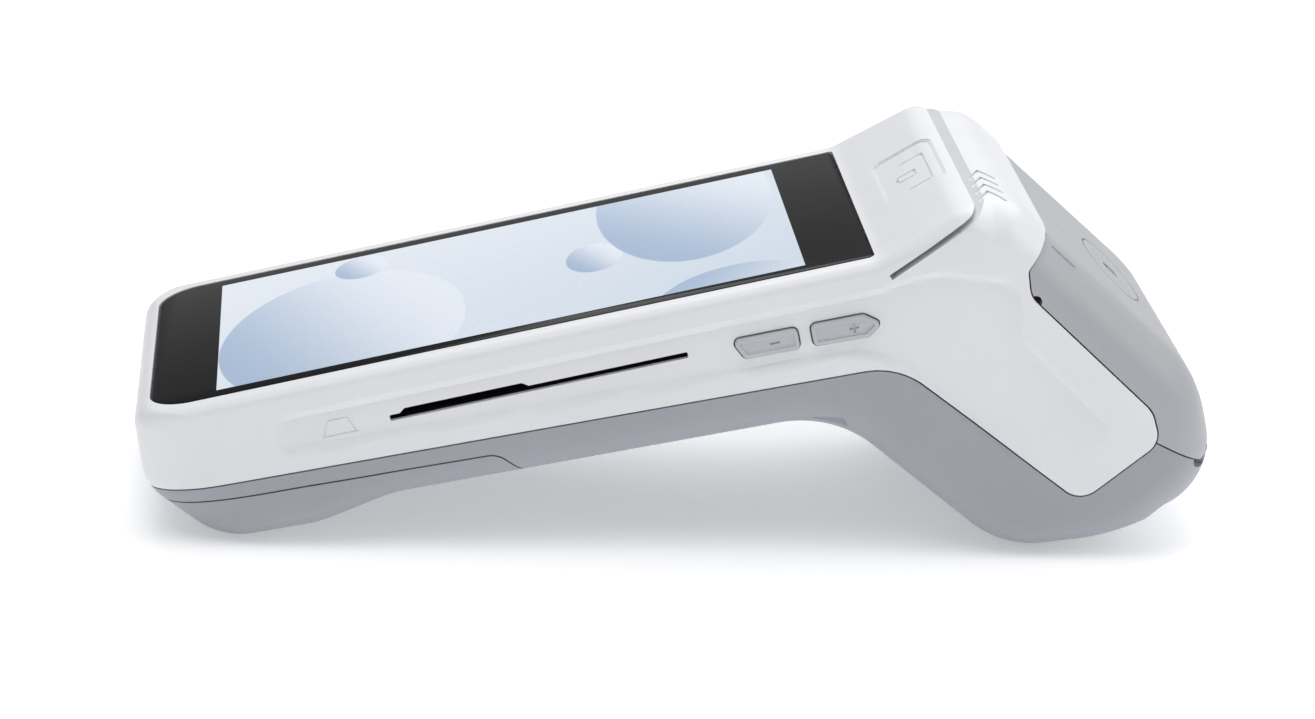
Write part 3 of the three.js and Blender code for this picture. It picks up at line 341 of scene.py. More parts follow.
def casing_form(name, corners, inset, arc_step, run_step, grid):
    """The closed casing form, moved in by inset: rings across the width, and a sheet on each side.

    The outline's arcs turn by arc_step degrees a side, and its points lie at most run_step apart.
    """
    least = 0.4
    end_fade = 60.0
    outline = moved(refined(rounded(corners, arc_step), run_step), -inset)
    rise = np.maximum(outline[:, 2] - inset, least)
    run = np.maximum(outline[:, 3] - inset, least)
    half, corner = HALF_WIDTH - inset, PLAN_CORNER - inset
    levels = cross_levels(half, corner, arc_step)

    def section(level):
        """The outline at one distance from the middle, drawn in by the plan corner and the edge round."""
        turn = math.asin(min(1.0, max(0.0, (level - half + corner) / corner)))
        shift = corner * (1 - math.cos(turn))
        ring = outline[:, :2].copy()
        ring[:, 0] += shift * (1 - smooth_step((ring[:, 0] - 1.0) / end_fade))
        sine = np.clip((level - half + run) / run, 0, 1)
        fall = rise * (1 - np.sqrt(1 - sine**2))
        return ring - outward(ring) * fall[:, None]

    rings = [section(level) for level in levels]
    signed = [(-level, ring) for level, ring in zip(levels[::-1], rings[::-1])]
    signed += [(level, ring) for level, ring in zip(levels[1:], rings[1:])]
    n = len(outline)
    vertices = [np.column_stack([ring[:, 0], np.full(n, y), ring[:, 1]]) for y, ring in signed]
    faces = []
    for r in range(len(signed) - 1):
        for i in range(n):
            j = (i + 1) % n
            faces.append((r * n + i, (r + 1) * n + i, (r + 1) * n + j, r * n + j))
    cap_xz, cap_faces = side_sheet(rings[-1], grid)
    sink = recess_depth(cap_xz) if inset == 0 else np.zeros(len(cap_xz))
    total = len(signed) * n
    for side in (-1, 1):
        ring_start = 0 if side < 0 else (len(signed) - 1) * n
        index = [ring_start + i if i < n else total + i - n for i in range(len(cap_xz))]
        new = np.column_stack([cap_xz[n:, 0], side * (half - sink[n:]), cap_xz[n:, 1]])
        vertices.append(new)
        total += len(new)
        for face in cap_faces:
            a, b, c = (cap_xz[k] for k in face[:3])
            turns_left = (b[0] - a[0]) * (c[1] - a[1]) - (b[1] - a[1]) * (c[0] - a[0]) > 0
            face = face if turns_left == (side < 0) else face[::-1]
            faces.append([index[k] for k in face])
    return new_object(name, np.vstack(vertices), faces)


def region_tool(name, corners, growth=0.0):
    """A side-view region carried across the whole width, and grown by a gap."""
    points = moved(rounded(corners, 5), growth)
    return prism(name, points, -HALF_WIDTH - 5, HALF_WIDTH + 5)


# ---- Casing pieces ----
def bar(name, radius, x, z, y0, y1, sides=32):
    """A round bar lying across the terminal."""
    return prism(name, circle(x, z, radius, sides), y0, y1)


def post(name, radius, x, y, z0, z1):
    """A round post standing square to the glass."""
    return slab(name, circle(x, y, radius, 24), z0, z1)


def side_tool(name, corners, growth, side, inner, outer, step=10):
    """A side-view outline on one side of the terminal, between two distances from the middle."""
    points = rounded(corners, step)
    points = moved(points, growth) if growth else points
    return prism(name, points, -outer, -inner) if side < 0 else prism(name, points, inner, outer)


def plan_outline(growth):
    """The glass seen from above, grown by a distance."""
    half, length, corner = GLASS_WIDTH / 2 + growth, GLASS_LENGTH + growth, GLASS_CORNER + growth
    return rounded([
        (-growth, half, corner), (-growth, -half, corner),
        (length, -half, GLASS_HEAD_CORNER), (length, half, GLASS_HEAD_CORNER),
    ], 5)


KEYS = {  # side of the terminal, and outline
    "volume_down_button": (-1, [(109.4, -12.9, 1), (119.8, -13.2, 1), (119.8, -9.1, 1), (107.5, -8.9, 1)]),
    "volume_up_button": (-1, [
        (122.4, -13.3, 1), (132.6, -13.7, 1), (135.4, -11.6, 0.8), (132.4, -9.3, 1), (122.4, -9.1, 1),
    ]),
    "power_button": (1, [(112, -13, 1.6), (126, -13.4, 1.6), (126, -9.4, 1.6), (112, -9.2, 1.6)]),
}
CARD_SLOT = (43.0, 99.2, -10.0)  # start, end, height
USB = (78.0, -11.7, 9.2, 3.2)  # middle x, middle z, length, height
INNER_HALF = HALF_WIDTH - WALL
TRAY_FLOOR, TRAY_TOP, DOOR_END = -17.6, -16.2, 61.0
SCREW_ROWS = ((8.0, TRAY_FLOOR), (36.0, TRAY_FLOOR), (104.2, -26.2))
SCREWS = [(x, side * 31.0, seat) for x, seat in SCREW_ROWS for side in (-1, 1)]
EAR_INNER = BARREL_HALF + SEAM
EAR_OUTER = EAR_INNER + 3.0
EAR_SPAN = EAR_OUTER + SEAM
PIN_BORE, PIN_HALF = 0.9, 31.6
ARM_INNER, ARM_OUTER = 30.7, 32.2


def foot_recess(node):
    """A tool for a foot's round recess, found from the CAD foot's own box."""
    low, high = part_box(node)
    radius = (high[1] - low[1]) / 2 + SEAM * MM
    ring = circle((low[0] + high[0]) / 2, (low[1] + high[1]) / 2, radius, 32)
    below, above = low[2] - 3.0 * MM, high[2] + SEAM * MM
    return lofted("foot_room", [(*p, below) for p in ring], [(*p, above) for p in ring], standing=False)


outer = casing_form("outer", CASING, 0.0, *FINE, 0.8)
inner = casing_form("inner", CASING, WALL, *COARSE, 10.0)


def glass_ledge():
    """The frame of plastic that the display glass rests on."""
    start, end = USER_END - 2, GLASS_LENGTH + 2
    low, high = ACROSS
    ledge = slab("ledge", [(start, high), (start, low), (end, low), (end, high)], -3.8, -2.2)
    return carve(ledge, slab("ledge_hole", plan_outline(-1.7), -6, 0))


def card_slot_tool():
    """The slot in the near side, a little taller along its first part."""
    start, end, z = CARD_SLOT
    low, high, taller = z - 0.6, z + 0.6, z + 1.4
    shape = rounded([
        (start, low, 0.3), (end, low, 0.3), (end, high, 0.3), (start + 26.3, high, 0),
        (start + 25.1, taller, 0.3), (start + 3.0, taller, 0.3), (start + 2.0, high, 0), (start, high, 0.3),
    ], 20)
    return prism("card_slot", shape, ACROSS[0], -INNER_HALF + 2)


def usb_tool():
    """The hole for the charging port in the far side."""
    x, z, length, height = USB
    half_x, half_z = length / 2 + SEAM, height / 2 + SEAM
    corners = [(x + i * half_x, z + j * half_z, 1.6) for i, j in ((-1, -1), (1, -1), (1, 1), (-1, 1))]
    return prism("usb_hole", rounded(corners, 10), INNER_HALF - 2, HALF_WIDTH + 2)


def front_housing():
    """The white shell with the glass pocket, stripe slot, key holes, card slot and charging port hole."""
    hollow = copy_of(inner, "front_hollow")
    half_slot = SWIPE_HEIGHT / 2
    carve(hollow, box_solid("step", (-4, 24.5), ACROSS, (-half_slot - 1.6, 20), *SWIPE_FRAME))
    carve(hollow, box_solid("root", (GLASS_LENGTH - 3, GLASS_LENGTH + 3), ACROSS, (-5.4, 5)))
    carve(hollow, glass_ledge())
    body = copy_of(outer, "front_housing_visual")
    carve(body, hollow)
    carve(body, region_tool("front_region", FRONT_REGION), "INTERSECT")
    carve(body, slab("pocket", plan_outline(SEAM), -GLASS_THICK - SEAM, 10))
    carve(body, box_solid("swipe_slot", (0, 40), ACROSS, (-half_slot, half_slot), *SWIPE_FRAME))
    carve(body, box_solid("head_window", (5.7, 15.3), (-6.5, 6.5), (-12, 0), *SWIPE_FRAME))
    for name, (side, outline) in KEYS.items():
        carve(body, side_tool(name + "_hole", outline, SEAM, side, INNER_HALF - 1, HALF_WIDTH + 3))
    carve(body, card_slot_tool())
    carve(body, usb_tool())
    engrave_strip(body)
    engrave_ramp(body)
    engrave_card_icon(body)
    return finish_mesh(body)


def stroke(name, path, width, place, top, depth):
    """An engraving tool: a line of even width along a flat path.

    place() sets its points in the display frame, from depth below the surface to top above it.
    """
    bare = [Vector(p) for p in path]
    path = [bare[0]]
    for a, b in zip(bare, bare[1:]):
        pieces = max(1, round((b - a).length / 1.2))
        path += [a + (b - a) * (k + 1) / pieces for k in range(pieces)]
    left, right = [], []
    for i, p in enumerate(path):
        before = (p - path[i - 1]).normalized() if i else (path[1] - p).normalized()
        after = (path[i + 1] - p).normalized() if i + 1 < len(path) else before
        middle = (before + after).normalized()
        normal = Vector((-middle.y, middle.x)) * (width / 2 / max(0.4, middle.dot(after)))
        left.append(p + normal)
        right.append(p - normal)
    ring = left + right[::-1]
    area = sum(ring[i - 1].x * q.y - q.x * ring[i - 1].y for i, q in enumerate(ring))
    ring = ring if area > 0 else ring[::-1]
    return lofted(name, [place(q.x, q.y, -depth) for q in ring], [place(q.x, q.y, top) for q in ring])


def top_height(x):
    """The height of the casing's top line over the head end at a place along the display."""
    outline = rounded(CASING, FINE[0])[:, :2]
    lowest = -3.0
    best = 0.0
    for a, b in zip(outline, np.roll(outline, -1, axis=0)):
        spans = min(a[0], b[0]) <= x <= max(a[0], b[0]) and a[0] != b[0]
        if spans and min(a[1], b[1]) > lowest:
            best = max(best, a[1] + (b[1] - a[1]) * (x - a[0]) / (b[0] - a[0]))
    return best


def on_top(a, b, c):
    """Places a flat point (along, across) at a height over the top surface."""
    return (a, b, top_height(a) + c)


def engrave_strip(body):
    """Four arrowheads along the strip behind the stripe slot, pointing along the swipe."""
    first, pitch, barb = -12.2, 4.45, 4.6
    for k in range(4):
        tip = first - pitch * k
        path = [(157.7, tip - barb), (160.2, tip), (162.8, tip - barb)]
        carve(body, stroke("chevron", path, 0.65, on_top, 2.0, 0.5))


def engrave_ramp(body):
    """The shallow square sunk into the ramp above the display, with a chip card mark in its floor."""
    for depth, growth in ((0.2, 0.0), (0.4, -0.35)):
        low, high, half = 142.4 - growth, 154.6 + growth, 13.2 + growth
        above, corner = 12.0, 2.6
        bottom = [(x, top_height(x) - depth) for x in np.linspace(low, high, 16)]
        sunk = prism("sunk", bottom + [(high, above), (low, above)], -half, half)
        corners = [(low, -half), (high, -half), (high, half), (low, half)]
        plan = rounded([(*p, corner) for p in corners], 8)
        carve(sunk, slab("sunk_plan", plan, -5, 20), "INTERSECT")
        carve(body, sunk)
    floor = lambda a, b, c: on_top(a, b, c - 0.4)
    for path in (
        [(145.9, 0.0), (149.4, 0.0), (149.4, -3.0), (145.9, -3.0), (145.9, -0.6)],
        [(147.4, -9.4), (151.9, -9.4), (151.9, 6.5), (147.4, 6.5)],
    ):
        carve(body, stroke("chip_mark", path, 0.55, floor, 1.5, 0.4))


def engrave_card_icon(body):
    """A card outline going into the slot, marked in the side recess."""
    face = HALF_WIDTH - RECESS_DEPTH
    place = lambda a, b, c: (a, -(face + c), b)
    for path in (
        [(30.6, -10.6), (31.6, -7.9), (35.4, -7.9), (36.4, -10.6)],
        [(30.1, -10.9), (36.9, -10.9)],
    ):
        carve(body, stroke("card_mark", path, 0.38, place, 1.0, 0.3))


def hinge_ear(side):
    """One of the two ears that carry the paper cover's hinge pins."""
    hx, hz = HINGE
    shape = rounded([
        (hx - 4, hz - 9), (hx + 2, hz - 6), (hx + 2.2, hz - 0.4, 0.9), (hx, hz + 2.4, 1.3),
        (hx - 2.4, hz - 0.4, 0.9), (hx - 4.5, hz - 5),
    ], 10)
    ear = prism("ear", shape, *sorted((side * EAR_INNER, side * EAR_OUTER)))
    return carve(ear, copy_of(outer, "ear_limit"), "INTERSECT")


def rear_housing():
    """The grey shell: battery tray, screw bosses, seat and ears for the cover's hinge, foot recesses."""
    below = -40
    hollow = copy_of(inner, "rear_hollow")
    carve(hollow, box_solid("tray", (USER_END - 2, DOOR_END + 7), ACROSS, (TRAY_FLOOR, TRAY_TOP)))
    carve(hollow, box_solid("tray_wall", (DOOR_END + 5.4, DOOR_END + 7), ACROSS, (below, -16.8)))
    for x, y, seat in SCREWS:
        if x > DOOR_END:
            carve(hollow, post("boss", 3.5, x, y, below, -15.7))
    body = copy_of(outer, "rear_housing_visual")
    carve(body, hollow)
    carve(body, region_tool("front_gap", FRONT_REGION, SEAM))
    carve(body, region_tool("cover_gap", COVER_REGION, SEAM))
    carve(body, region_tool("door_gap", DOOR_REGION, SEAM))
    carve(body, bar("seat", BARREL_RADIUS + 0.8, *HINGE, -EAR_SPAN, EAR_SPAN))
    carve(body, bar("seat_ends", 1.8, *HINGE, *ACROSS))
    for side in (-1, 1):
        carve(body, hinge_ear(side), "UNION")
    carve(body, bar("pin_bore", PIN_BORE, *HINGE, -PIN_HALF, PIN_HALF, 16))
    for x, y, seat in SCREWS:
        carve(body, post("screw_bore", 1.1, x, y, seat - 3, -8))
        carve(body, post("head_bore", 2.2, x, y, below, seat))
    for node in ("rear_foot_near", "rear_foot_far"):
        carve(body, foot_recess(node))
    notch = rounded([(119.6, -27.6, 0.6), (119, -31), (126.6, -35), (125.2, -28.6, 1.2)], 10)
    carve(body, prism("notch", notch, -50, -HALF_WIDTH + 3))
    return finish_mesh(body)


def battery_cover():
    """The grip's cover, with the recesses for the front feet."""
    body = copy_of(outer, "battery_cover_visual")
    carve(body, copy_of(inner, "door_hollow"))
    carve(body, region_tool("door_region", DOOR_REGION), "INTERSECT")
    for node in ("front_foot_near", "front_foot_far"):
        carve(body, foot_recess(node))
    return finish_mesh(body)


def paper_cover():
    """The cover with its barrel and the arms that carry the platen."""
    shape = casing_form("paper_cover_visual", LID, 0.0, *FINE, 1.0)
    carve(shape, casing_form("lid_hollow", LID, WALL, *COARSE, 10.0))
    carve(shape, region_tool("cover_region", COVER_REGION), "INTERSECT")
    carve(shape, region_tool("cover_front_gap", FRONT_REGION, SEAM))
    ear_start = BARREL_HALF + 0.1
    for y0, y1 in ((ear_start, EAR_SPAN), (-EAR_SPAN, -ear_start)):
        carve(shape, bar("ear_room", BARREL_RADIUS + 0.6, *HINGE, y0, y1))
    exit_half, rib_half = PAPER_HALF + 1, PAPER_HALF - 3
    carve(shape, box_solid("exit", (2, 20), (-exit_half, exit_half), (4.4, 9), *BACK_FRAME))
    hx, hz = HINGE
    carve(shape, bar("barrel", BARREL_RADIUS, hx, hz, -BARREL_HALF, BARREL_HALF, 40), "UNION")
    knuckle_x = (hx - 0.6, hx + BARREL_RADIUS - 0.2)
    carve(shape, box_solid("knuckle", knuckle_x, (-BARREL_HALF, BARREL_HALF), (hz, hz + 4)), "UNION")
    arm_reach, arm_half = 9.2, 3.0
    rib = box_solid("tear_rib", (7.3, arm_reach), (-rib_half, rib_half), (1, 3.4), *BACK_FRAME)
    for side in (-1, 1):
        span = sorted((side * ARM_INNER, side * ARM_OUTER))
        arm = box_solid("arm", (0, arm_reach), span, (-arm_half, arm_half), *BACK_FRAME)
        carve(arm, bar("eye", arm_half, *PLATEN, *span), "UNION")
        carve(shape, arm, "UNION")
    carve(shape, rib, "UNION")
    carve(shape, bar("arm_bore", 1.3, *PLATEN, -40, 40))
    carve(shape, bar("pin_bore", PIN_BORE, hx, hz, -PIN_HALF, PIN_HALF, 16))
    engrave_oval_mark(shape)
    return finish_mesh(shape)


def engrave_oval_mark(body):
    """An oval line on the paper cover round a plain dot, where a card is held."""
    back_turn = math.radians(BACK_FRAME[0])
    brow_x, brow_z = BROW[0] - PLATEN[0], BROW[1] - PLATEN[1]
    face = brow_x * math.cos(back_turn) + brow_z * math.sin(back_turn) - LID_SINK
    middle = -20.0
    place = lambda a, b, c: turned(face + c, a, middle + b, *BACK_FRAME)
    for ru, rv, width in ((13.0, 7.0, 0.45), (1.3, 1.3, 1.4)):
        path = [(ru * math.cos(k * math.tau / 48), rv * math.sin(k * math.tau / 48)) for k in range(49)]
        path[-1] = (path[-1][0], path[-1][1] - 0.02)  # the line's two ends don't quite meet
        carve(body, stroke("mark", path, width, place, 1.0, 0.32))


# ---- Materials ----
class Nodes:
    """Short names for building a material's nodes."""

    def __init__(self, name):
        self.material = bpy.data.materials.new(name)
        self.material.use_nodes = True
        self.tree = self.material.node_tree
        self.shader = self.tree.nodes["Principled BSDF"]
        self.coords = self.tree.nodes.new("ShaderNodeTexCoord").outputs["Object"]

    def link(self, value, socket):
        """Joins an output to an input, or sets the input's value."""
        if isinstance(value, bpy.types.NodeSocket):
            self.tree.links.new(value, socket)
        else:
            socket.default_value = value

    def noise(self, scale, detail=3.0, roughness=0.55, vector=None):
        node = self.tree.nodes.new("ShaderNodeTexNoise")
        self.link(vector or self.coords, node.inputs["Vector"])
        node.inputs["Scale"].default_value = scale
        node.inputs["Detail"].default_value = detail
        node.inputs["Roughness"].default_value = roughness
        return node.outputs["Fac"]

    def cells(self, scale):
        node = self.tree.nodes.new("ShaderNodeTexVoronoi")
        self.link(self.coords, node.inputs["Vector"])
        node.inputs["Scale"].default_value = scale
        return node.outputs["Distance"]

    def scaled(self, x, y, z):
        """The object's coordinates, multiplied axis by axis."""
        node = self.tree.nodes.new("ShaderNodeVectorMath")
        node.operation = "MULTIPLY"
        self.link(self.coords, node.inputs[0])
        node.inputs[1].default_value = (x, y, z)
        return node.outputs[0]

    def math(self, operation, a, b=0.0):
        node = self.tree.nodes.new("ShaderNodeMath")
        node.operation = operation
        for value, socket in zip((a, b), node.inputs):
            self.link(value, socket)
        return node.outputs[0]

    def ranged(self, value, low, high, to_low, to_high, smooth=False):
        """The value carried from the range low to high into the range to_low to to_high, and held there."""
        node = self.tree.nodes.new("ShaderNodeMapRange")
        node.interpolation_type = "SMOOTHSTEP" if smooth else "LINEAR"
        self.link(value, node.inputs["Value"])
        for key, number in zip(("From Min", "From Max", "To Min", "To Max"), (low, high, to_low, to_high)):
            node.inputs[key].default_value = number
        return node.outputs["Result"]

    def mix(self, amount, a, b):
        """Colour a where the amount is 0, and colour b where it is 1."""
        node = self.tree.nodes.new("ShaderNodeMix")
        node.data_type = "RGBA"
        self.link(amount, node.inputs[0])
        self.link(a, node.inputs[6])
        self.link(b, node.inputs[7])
        return node.outputs[2]

    def bump(self, height, distance):
        node = self.tree.nodes.new("ShaderNodeBump")
        self.link(height, node.inputs["Height"])
        node.inputs["Distance"].default_value = distance
        self.link(node.outputs["Normal"], self.shader.inputs["Normal"])

    def set(self, **values):
        """Sets or links the shader's inputs, with _ for each space in a name."""
        for key, value in values.items():
            self.link(value, self.shader.inputs[key.replace("_", " ")])


def colour(r, g, b):
    """A display colour, 0 to 255, as linear light."""
    def linear(c):
        c /= 255
        return c / 12.92 if c <= 0.04045 else ((c + 0.055) / 1.055) ** 2.4
    return (linear(r), linear(g), linear(b), 1.0)


def shaded(base, factor):
    """A colour made lighter or darker by a factor."""
    return tuple(min(1.0, c * factor) for c in base[:3]) + (1.0,)


def moulded_plastic(name, base, roughness, grain, coat=0.0):
    """Moulded plastic with a spark-eroded grain, faint flow marks and a painted highlight that makes its
    sharp convex edges slightly lighter.
    """
    m = Nodes(name)
    flow = m.noise(28, 4)
    fine = m.noise(2600, 2)
    speckle = m.cells(3300)
    geometry = m.tree.nodes.new("ShaderNodeNewGeometry").outputs["Pointiness"]
    # painted highlight: the convex edges, found from pointiness, are made slightly lighter in the base colour
    # below
    edge = m.ranged(geometry, 0.52, 0.58, 0.0, 1.0, True)
    tone = m.mix(m.ranged(flow, 0.3, 0.7, 0.0, 1.0), shaded(base, 0.965), base)
    m.set(Base_Color=m.mix(m.math("MULTIPLY", edge, 0.5), tone, shaded(base, 1.035)))
    m.set(Roughness=m.ranged(m.noise(160, 3), 0.3, 0.7, roughness - 0.035, roughness + 0.035))
    m.bump(m.math("ADD", fine, m.math("MULTIPLY", speckle, 0.7)), grain)
    m.shader.inputs["IOR"].default_value = 1.5
    m.shader.inputs["Coat Weight"].default_value = coat
    return m.material


def metal(name, base, roughness, brushed=(1.0, 12.0, 1.0)):
    """Plated or turned metal with fine lines and a little tarnish."""
    m = Nodes(name)
    lines = m.noise(420, 3, vector=m.scaled(*brushed))
    dull = m.noise(70, 4)
    m.set(Base_Color=m.mix(m.ranged(dull, 0.35, 0.7, 0.0, 0.6), base, shaded(base, 0.8)))
    m.set(Roughness=m.ranged(lines, 0.3, 0.7, roughness - 0.08, roughness + 0.1))
    m.shader.inputs["Metallic"].default_value = 1.0
    m.bump(lines, 0.00001)
    return m.material


def rubber(name, base):
    """Dark rubber with a dusty, pored surface."""
    m = Nodes(name)
    dust = m.noise(240, 5, 0.7)
    m.set(Base_Color=m.mix(m.ranged(dust, 0.5, 0.75, 0.0, 0.5), base, shaded(base, 1.9)))
    m.set(Roughness=m.ranged(dust, 0.3, 0.7, 0.7, 0.9))
    m.bump(m.noise(1800, 3), 0.00004)
    return m.material


def circuit_board(name):
    """Green solder mask over a grid of tracks, with pads here and there."""
    m = Nodes(name)
    grid = m.tree.nodes.new("ShaderNodeTexBrick")
    m.link(m.coords, grid.inputs["Vector"])
    grid.inputs["Scale"].default_value = 260
    grid.inputs["Mortar Size"].default_value = 0.05
    grid.inputs["Color1"].default_value = colour(20, 78, 52)
    grid.inputs["Color2"].default_value = colour(16, 68, 46)
    grid.inputs["Mortar"].default_value = colour(44, 112, 78)
    pads = m.ranged(m.cells(520), 0.0, 0.16, 1.0, 0.0)
    chosen = m.math("GREATER_THAN", m.noise(60, 2), 0.56)
    m.set(Base_Color=m.mix(m.math("MULTIPLY", pads, chosen), grid.outputs["Color"], colour(206, 196, 160)))
    m.set(Roughness=m.ranged(m.noise(300, 2), 0.3, 0.7, 0.3, 0.42))
    m.bump(grid.outputs["Fac"], 0.00003)
    m.shader.inputs["Coat Weight"].default_value = 0.3
    return m.material


UV_LENGTH = 100.0  # millimetres of display to one UV unit
LIT_ALONG, LIT_ACROSS = (12.5, 124.0), (-31.0, 31.0)


def screen_material():
    """The display glass: a black border, and a lit picture of soft grey-blue discs under the clear glass."""
    m = Nodes("display_glass")
    place = m.tree.nodes.new("ShaderNodeUVMap").outputs["UV"]
    split = m.tree.nodes.new("ShaderNodeSeparateXYZ")
    m.link(place, split.inputs[0])
    u, v = split.outputs[0], split.outputs[1]
    pale, deep = colour(228, 234, 242), colour(166, 186, 211)

    def disc(under, middle, radii, lean):
        """A disc over the picture so far, shaded from pale to deep along the direction of its lean."""
        du = m.math("DIVIDE", m.math("SUBTRACT", u, middle[0] / UV_LENGTH), radii[0] / UV_LENGTH)
        dv = m.math("DIVIDE", m.math("SUBTRACT", v, middle[1] / UV_LENGTH), radii[1] / UV_LENGTH)
        reach = m.math("SQRT", m.math("ADD", m.math("MULTIPLY", du, du), m.math("MULTIPLY", dv, dv)))
        inside = m.ranged(reach, 0.985, 1.0, 1.0, 0.0)
        slope = m.math("ADD", m.math("MULTIPLY", du, lean[0]), m.math("MULTIPLY", dv, lean[1]))
        shade = m.mix(m.ranged(slope, -0.75, 0.85, 0.0, 1.0, True), pale, deep)
        return m.mix(inside, under, shade)

    def between(value, low, high):
        """1 between two places on the display, in millimetres, and 0 outside them."""
        soft = 0.02
        rising = m.ranged(value, (low - soft) / UV_LENGTH, (low + soft) / UV_LENGTH, 0.0, 1.0)
        falling = m.ranged(value, (high - soft) / UV_LENGTH, (high + soft) / UV_LENGTH, 1.0, 0.0)
        return m.math("MULTIPLY", rising, falling)

    lit = m.mix(m.ranged(u, 0.12, 1.24, 0.0, 1.0), colour(222, 229, 238), colour(206, 218, 231))
    lit = m.mix(m.ranged(v, -0.31, 0.31, 0.0, 0.5), lit, colour(228, 233, 240))
    for middle, radii, lean in (
        ((36.4, -13.0), (24.0, 35.0), (-0.75, -0.35)),
        ((40.7, 23.8), (5.4, 6.6), (-0.8, -0.4)),
        ((86.0, -0.5), (5.6, 8.6), (-0.8, -0.5)),
        ((105.4, 21.3), (17.6, 36.0), (-0.5, -0.7)),
        ((111.0, -42.0), (17.0, 20.0), (-0.6, 0.4)),
    ):
        lit = disc(lit, middle, radii, lean)
    grain = m.ranged(m.noise(2200, 2), 0.25, 0.75, 0.955, 1.04)
    scaled = m.tree.nodes.new("ShaderNodeVectorMath")
    scaled.operation = "SCALE"
    m.link(lit, scaled.inputs[0])
    m.link(grain, scaled.inputs["Scale"])
    shown = m.math("MULTIPLY", between(u, *LIT_ALONG), between(v, *LIT_ACROSS))
    black = m.mix(m.ranged(m.noise(90, 3), 0.3, 0.7, 0.0, 1.0), colour(20, 21, 23), colour(24, 25, 27))
    m.set(Base_Color=m.mix(shown, black, colour(22, 24, 28)))
    m.set(Emission_Color=m.mix(shown, (0, 0, 0, 1), scaled.outputs[0]))
    m.shader.inputs["Emission Strength"].default_value = 0.98
    m.set(Roughness=m.ranged(m.noise(50, 4), 0.3, 0.8, 0.1, 0.17))
    m.shader.inputs["IOR"].default_value = 1.5
    m.shader.inputs["Specular IOR Level"].default_value = 0.06
    return m.material


WHITE_PLASTIC = moulded_plastic("white_plastic", colour(233, 234, 237), 0.42, 0.000009)
GREY_PLASTIC = moulded_plastic("grey_plastic", colour(163, 166, 173), 0.5, 0.000018)
LID_PLASTIC = moulded_plastic("light_grey_plastic", colour(176, 178, 183), 0.48, 0.000018)
KEY_PLASTIC = moulded_plastic("key_plastic", colour(190, 192, 197), 0.38, 0.000006, 0.15)
BLACK_PLASTIC = moulded_plastic("black_plastic", colour(40, 41, 44), 0.5, 0.00002)
NYLON = moulded_plastic("nylon", colour(222, 219, 208), 0.5, 0.000012)
STEEL = metal("steel", colour(186, 188, 192), 0.3)
ALLOY = metal("light_alloy", colour(196, 198, 203), 0.42, (1.0, 1.0, 1.0))
BRASS = metal("brass", colour(201, 166, 92), 0.28)
RUBBER = rubber("rubber", colour(44, 45, 48))
BOARD = circuit_board("circuit_board")
WRAP = moulded_plastic("battery_wrap", colour(62, 66, 76), 0.34, 0.00003, 0.3)
SCREEN = screen_material()


def painted(obj, look):
    """Gives an object one material."""
    obj.data.materials.clear()
    obj.data.materials.append(look)
    return obj


# ---- Pieces ----
pieces = {
    "front_housing": (painted(front_housing(), WHITE_PLASTIC), "white_casing"),
    "rear_housing": (painted(rear_housing(), GREY_PLASTIC), "grey_casing"),
    "battery_cover": (painted(battery_cover(), GREY_PLASTIC), "grey_casing"),
    "paper_cover": (painted(paper_cover(), LID_PLASTIC), "light_grey_casing"),
}
for spare in (outer, inner):
    bpy.data.objects.remove(spare)


def display_glass():
    """The glass, with its edge slightly rounded, and where each point lies on the display as its UV."""
    obj = bevel(slab("display_glass_visual", plan_outline(0), -GLASS_THICK, 0), 0.35, 30)
    layer = obj.data.uv_layers.new(name="UVMap")
    back = STAND.inverted()
    for loop in obj.data.loops:
        point = back @ obj.data.vertices[loop.vertex_index].co
        layer.data[loop.index].uv = (point.x / UV_LENGTH, point.y / UV_LENGTH)
    return painted(finish_mesh(obj, 35), SCREEN)


LEVEL_LINE, UPRIGHT_LINE = ((-0.9, 0), (0.9, 0)), ((0, -0.9), (0, 0.9))
SIGNS = {  # the lines sunk into each key, from its sign's middle
    "volume_down_button": [LEVEL_LINE],
    "volume_up_button": [LEVEL_LINE, UPRIGHT_LINE],
    "power_button": [((-0.9, 0.7), (-0.9, -0.7)), ((0.9, 0.7), (0.9, -0.7))],
}


def key(name, side, outline):
    """A side key: flange, body with a dished face inside a raised rim, and its sign."""
    face = HALF_WIDTH - RECESS_DEPTH + 0.8
    dished = face - 0.3
    flange_out = INNER_HALF - SEAM
    flange_in = flange_out - 0.7
    obj = bevel(side_tool(name + "_visual", outline, 0, side, flange_in, face, 8), 0.3, 50)
    carve(obj, bevel(side_tool("dish", outline, -0.75, side, dished, face + 1, 8), 0.28, 50))
    carve(obj, side_tool("flange", outline, 0.7, side, flange_in, flange_out, 8), "UNION")
    middle_x, middle_z = np.mean([c[:2] for c in outline], axis=0)
    sign_x = middle_x + 1.2
    place = lambda a, b, c: (sign_x + a, side * (dished + c), middle_z + b)
    for line in SIGNS[name]:
        tool = stroke("sign", line, 0.42, place, 0.4, 0.3)
        if side > 0:  # place() mirrors the tool on this side, which turns its faces inwards
            tool.data.flip_normals()
        carve(obj, tool)
    return painted(finish_mesh(obj, 35), KEY_PLASTIC)


pieces["display_glass"] = (display_glass(), "display_glass")
for name, (side, outline) in KEYS.items():
    pieces[name] = (key(name, side, outline), "key_plastic")

RIDERS = {
    "battery_cover": "battery_door", "paper_cover": "paper_lid", "volume_down_button": "volume_down_key",
    "volume_up_button": "volume_up_key", "power_button": "power_key",
}
for node, (piece, finish) in pieces.items():
    if node in RIDERS:
        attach(piece, RIDERS[node])
    else:
        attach(piece, "root")
    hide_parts(node)

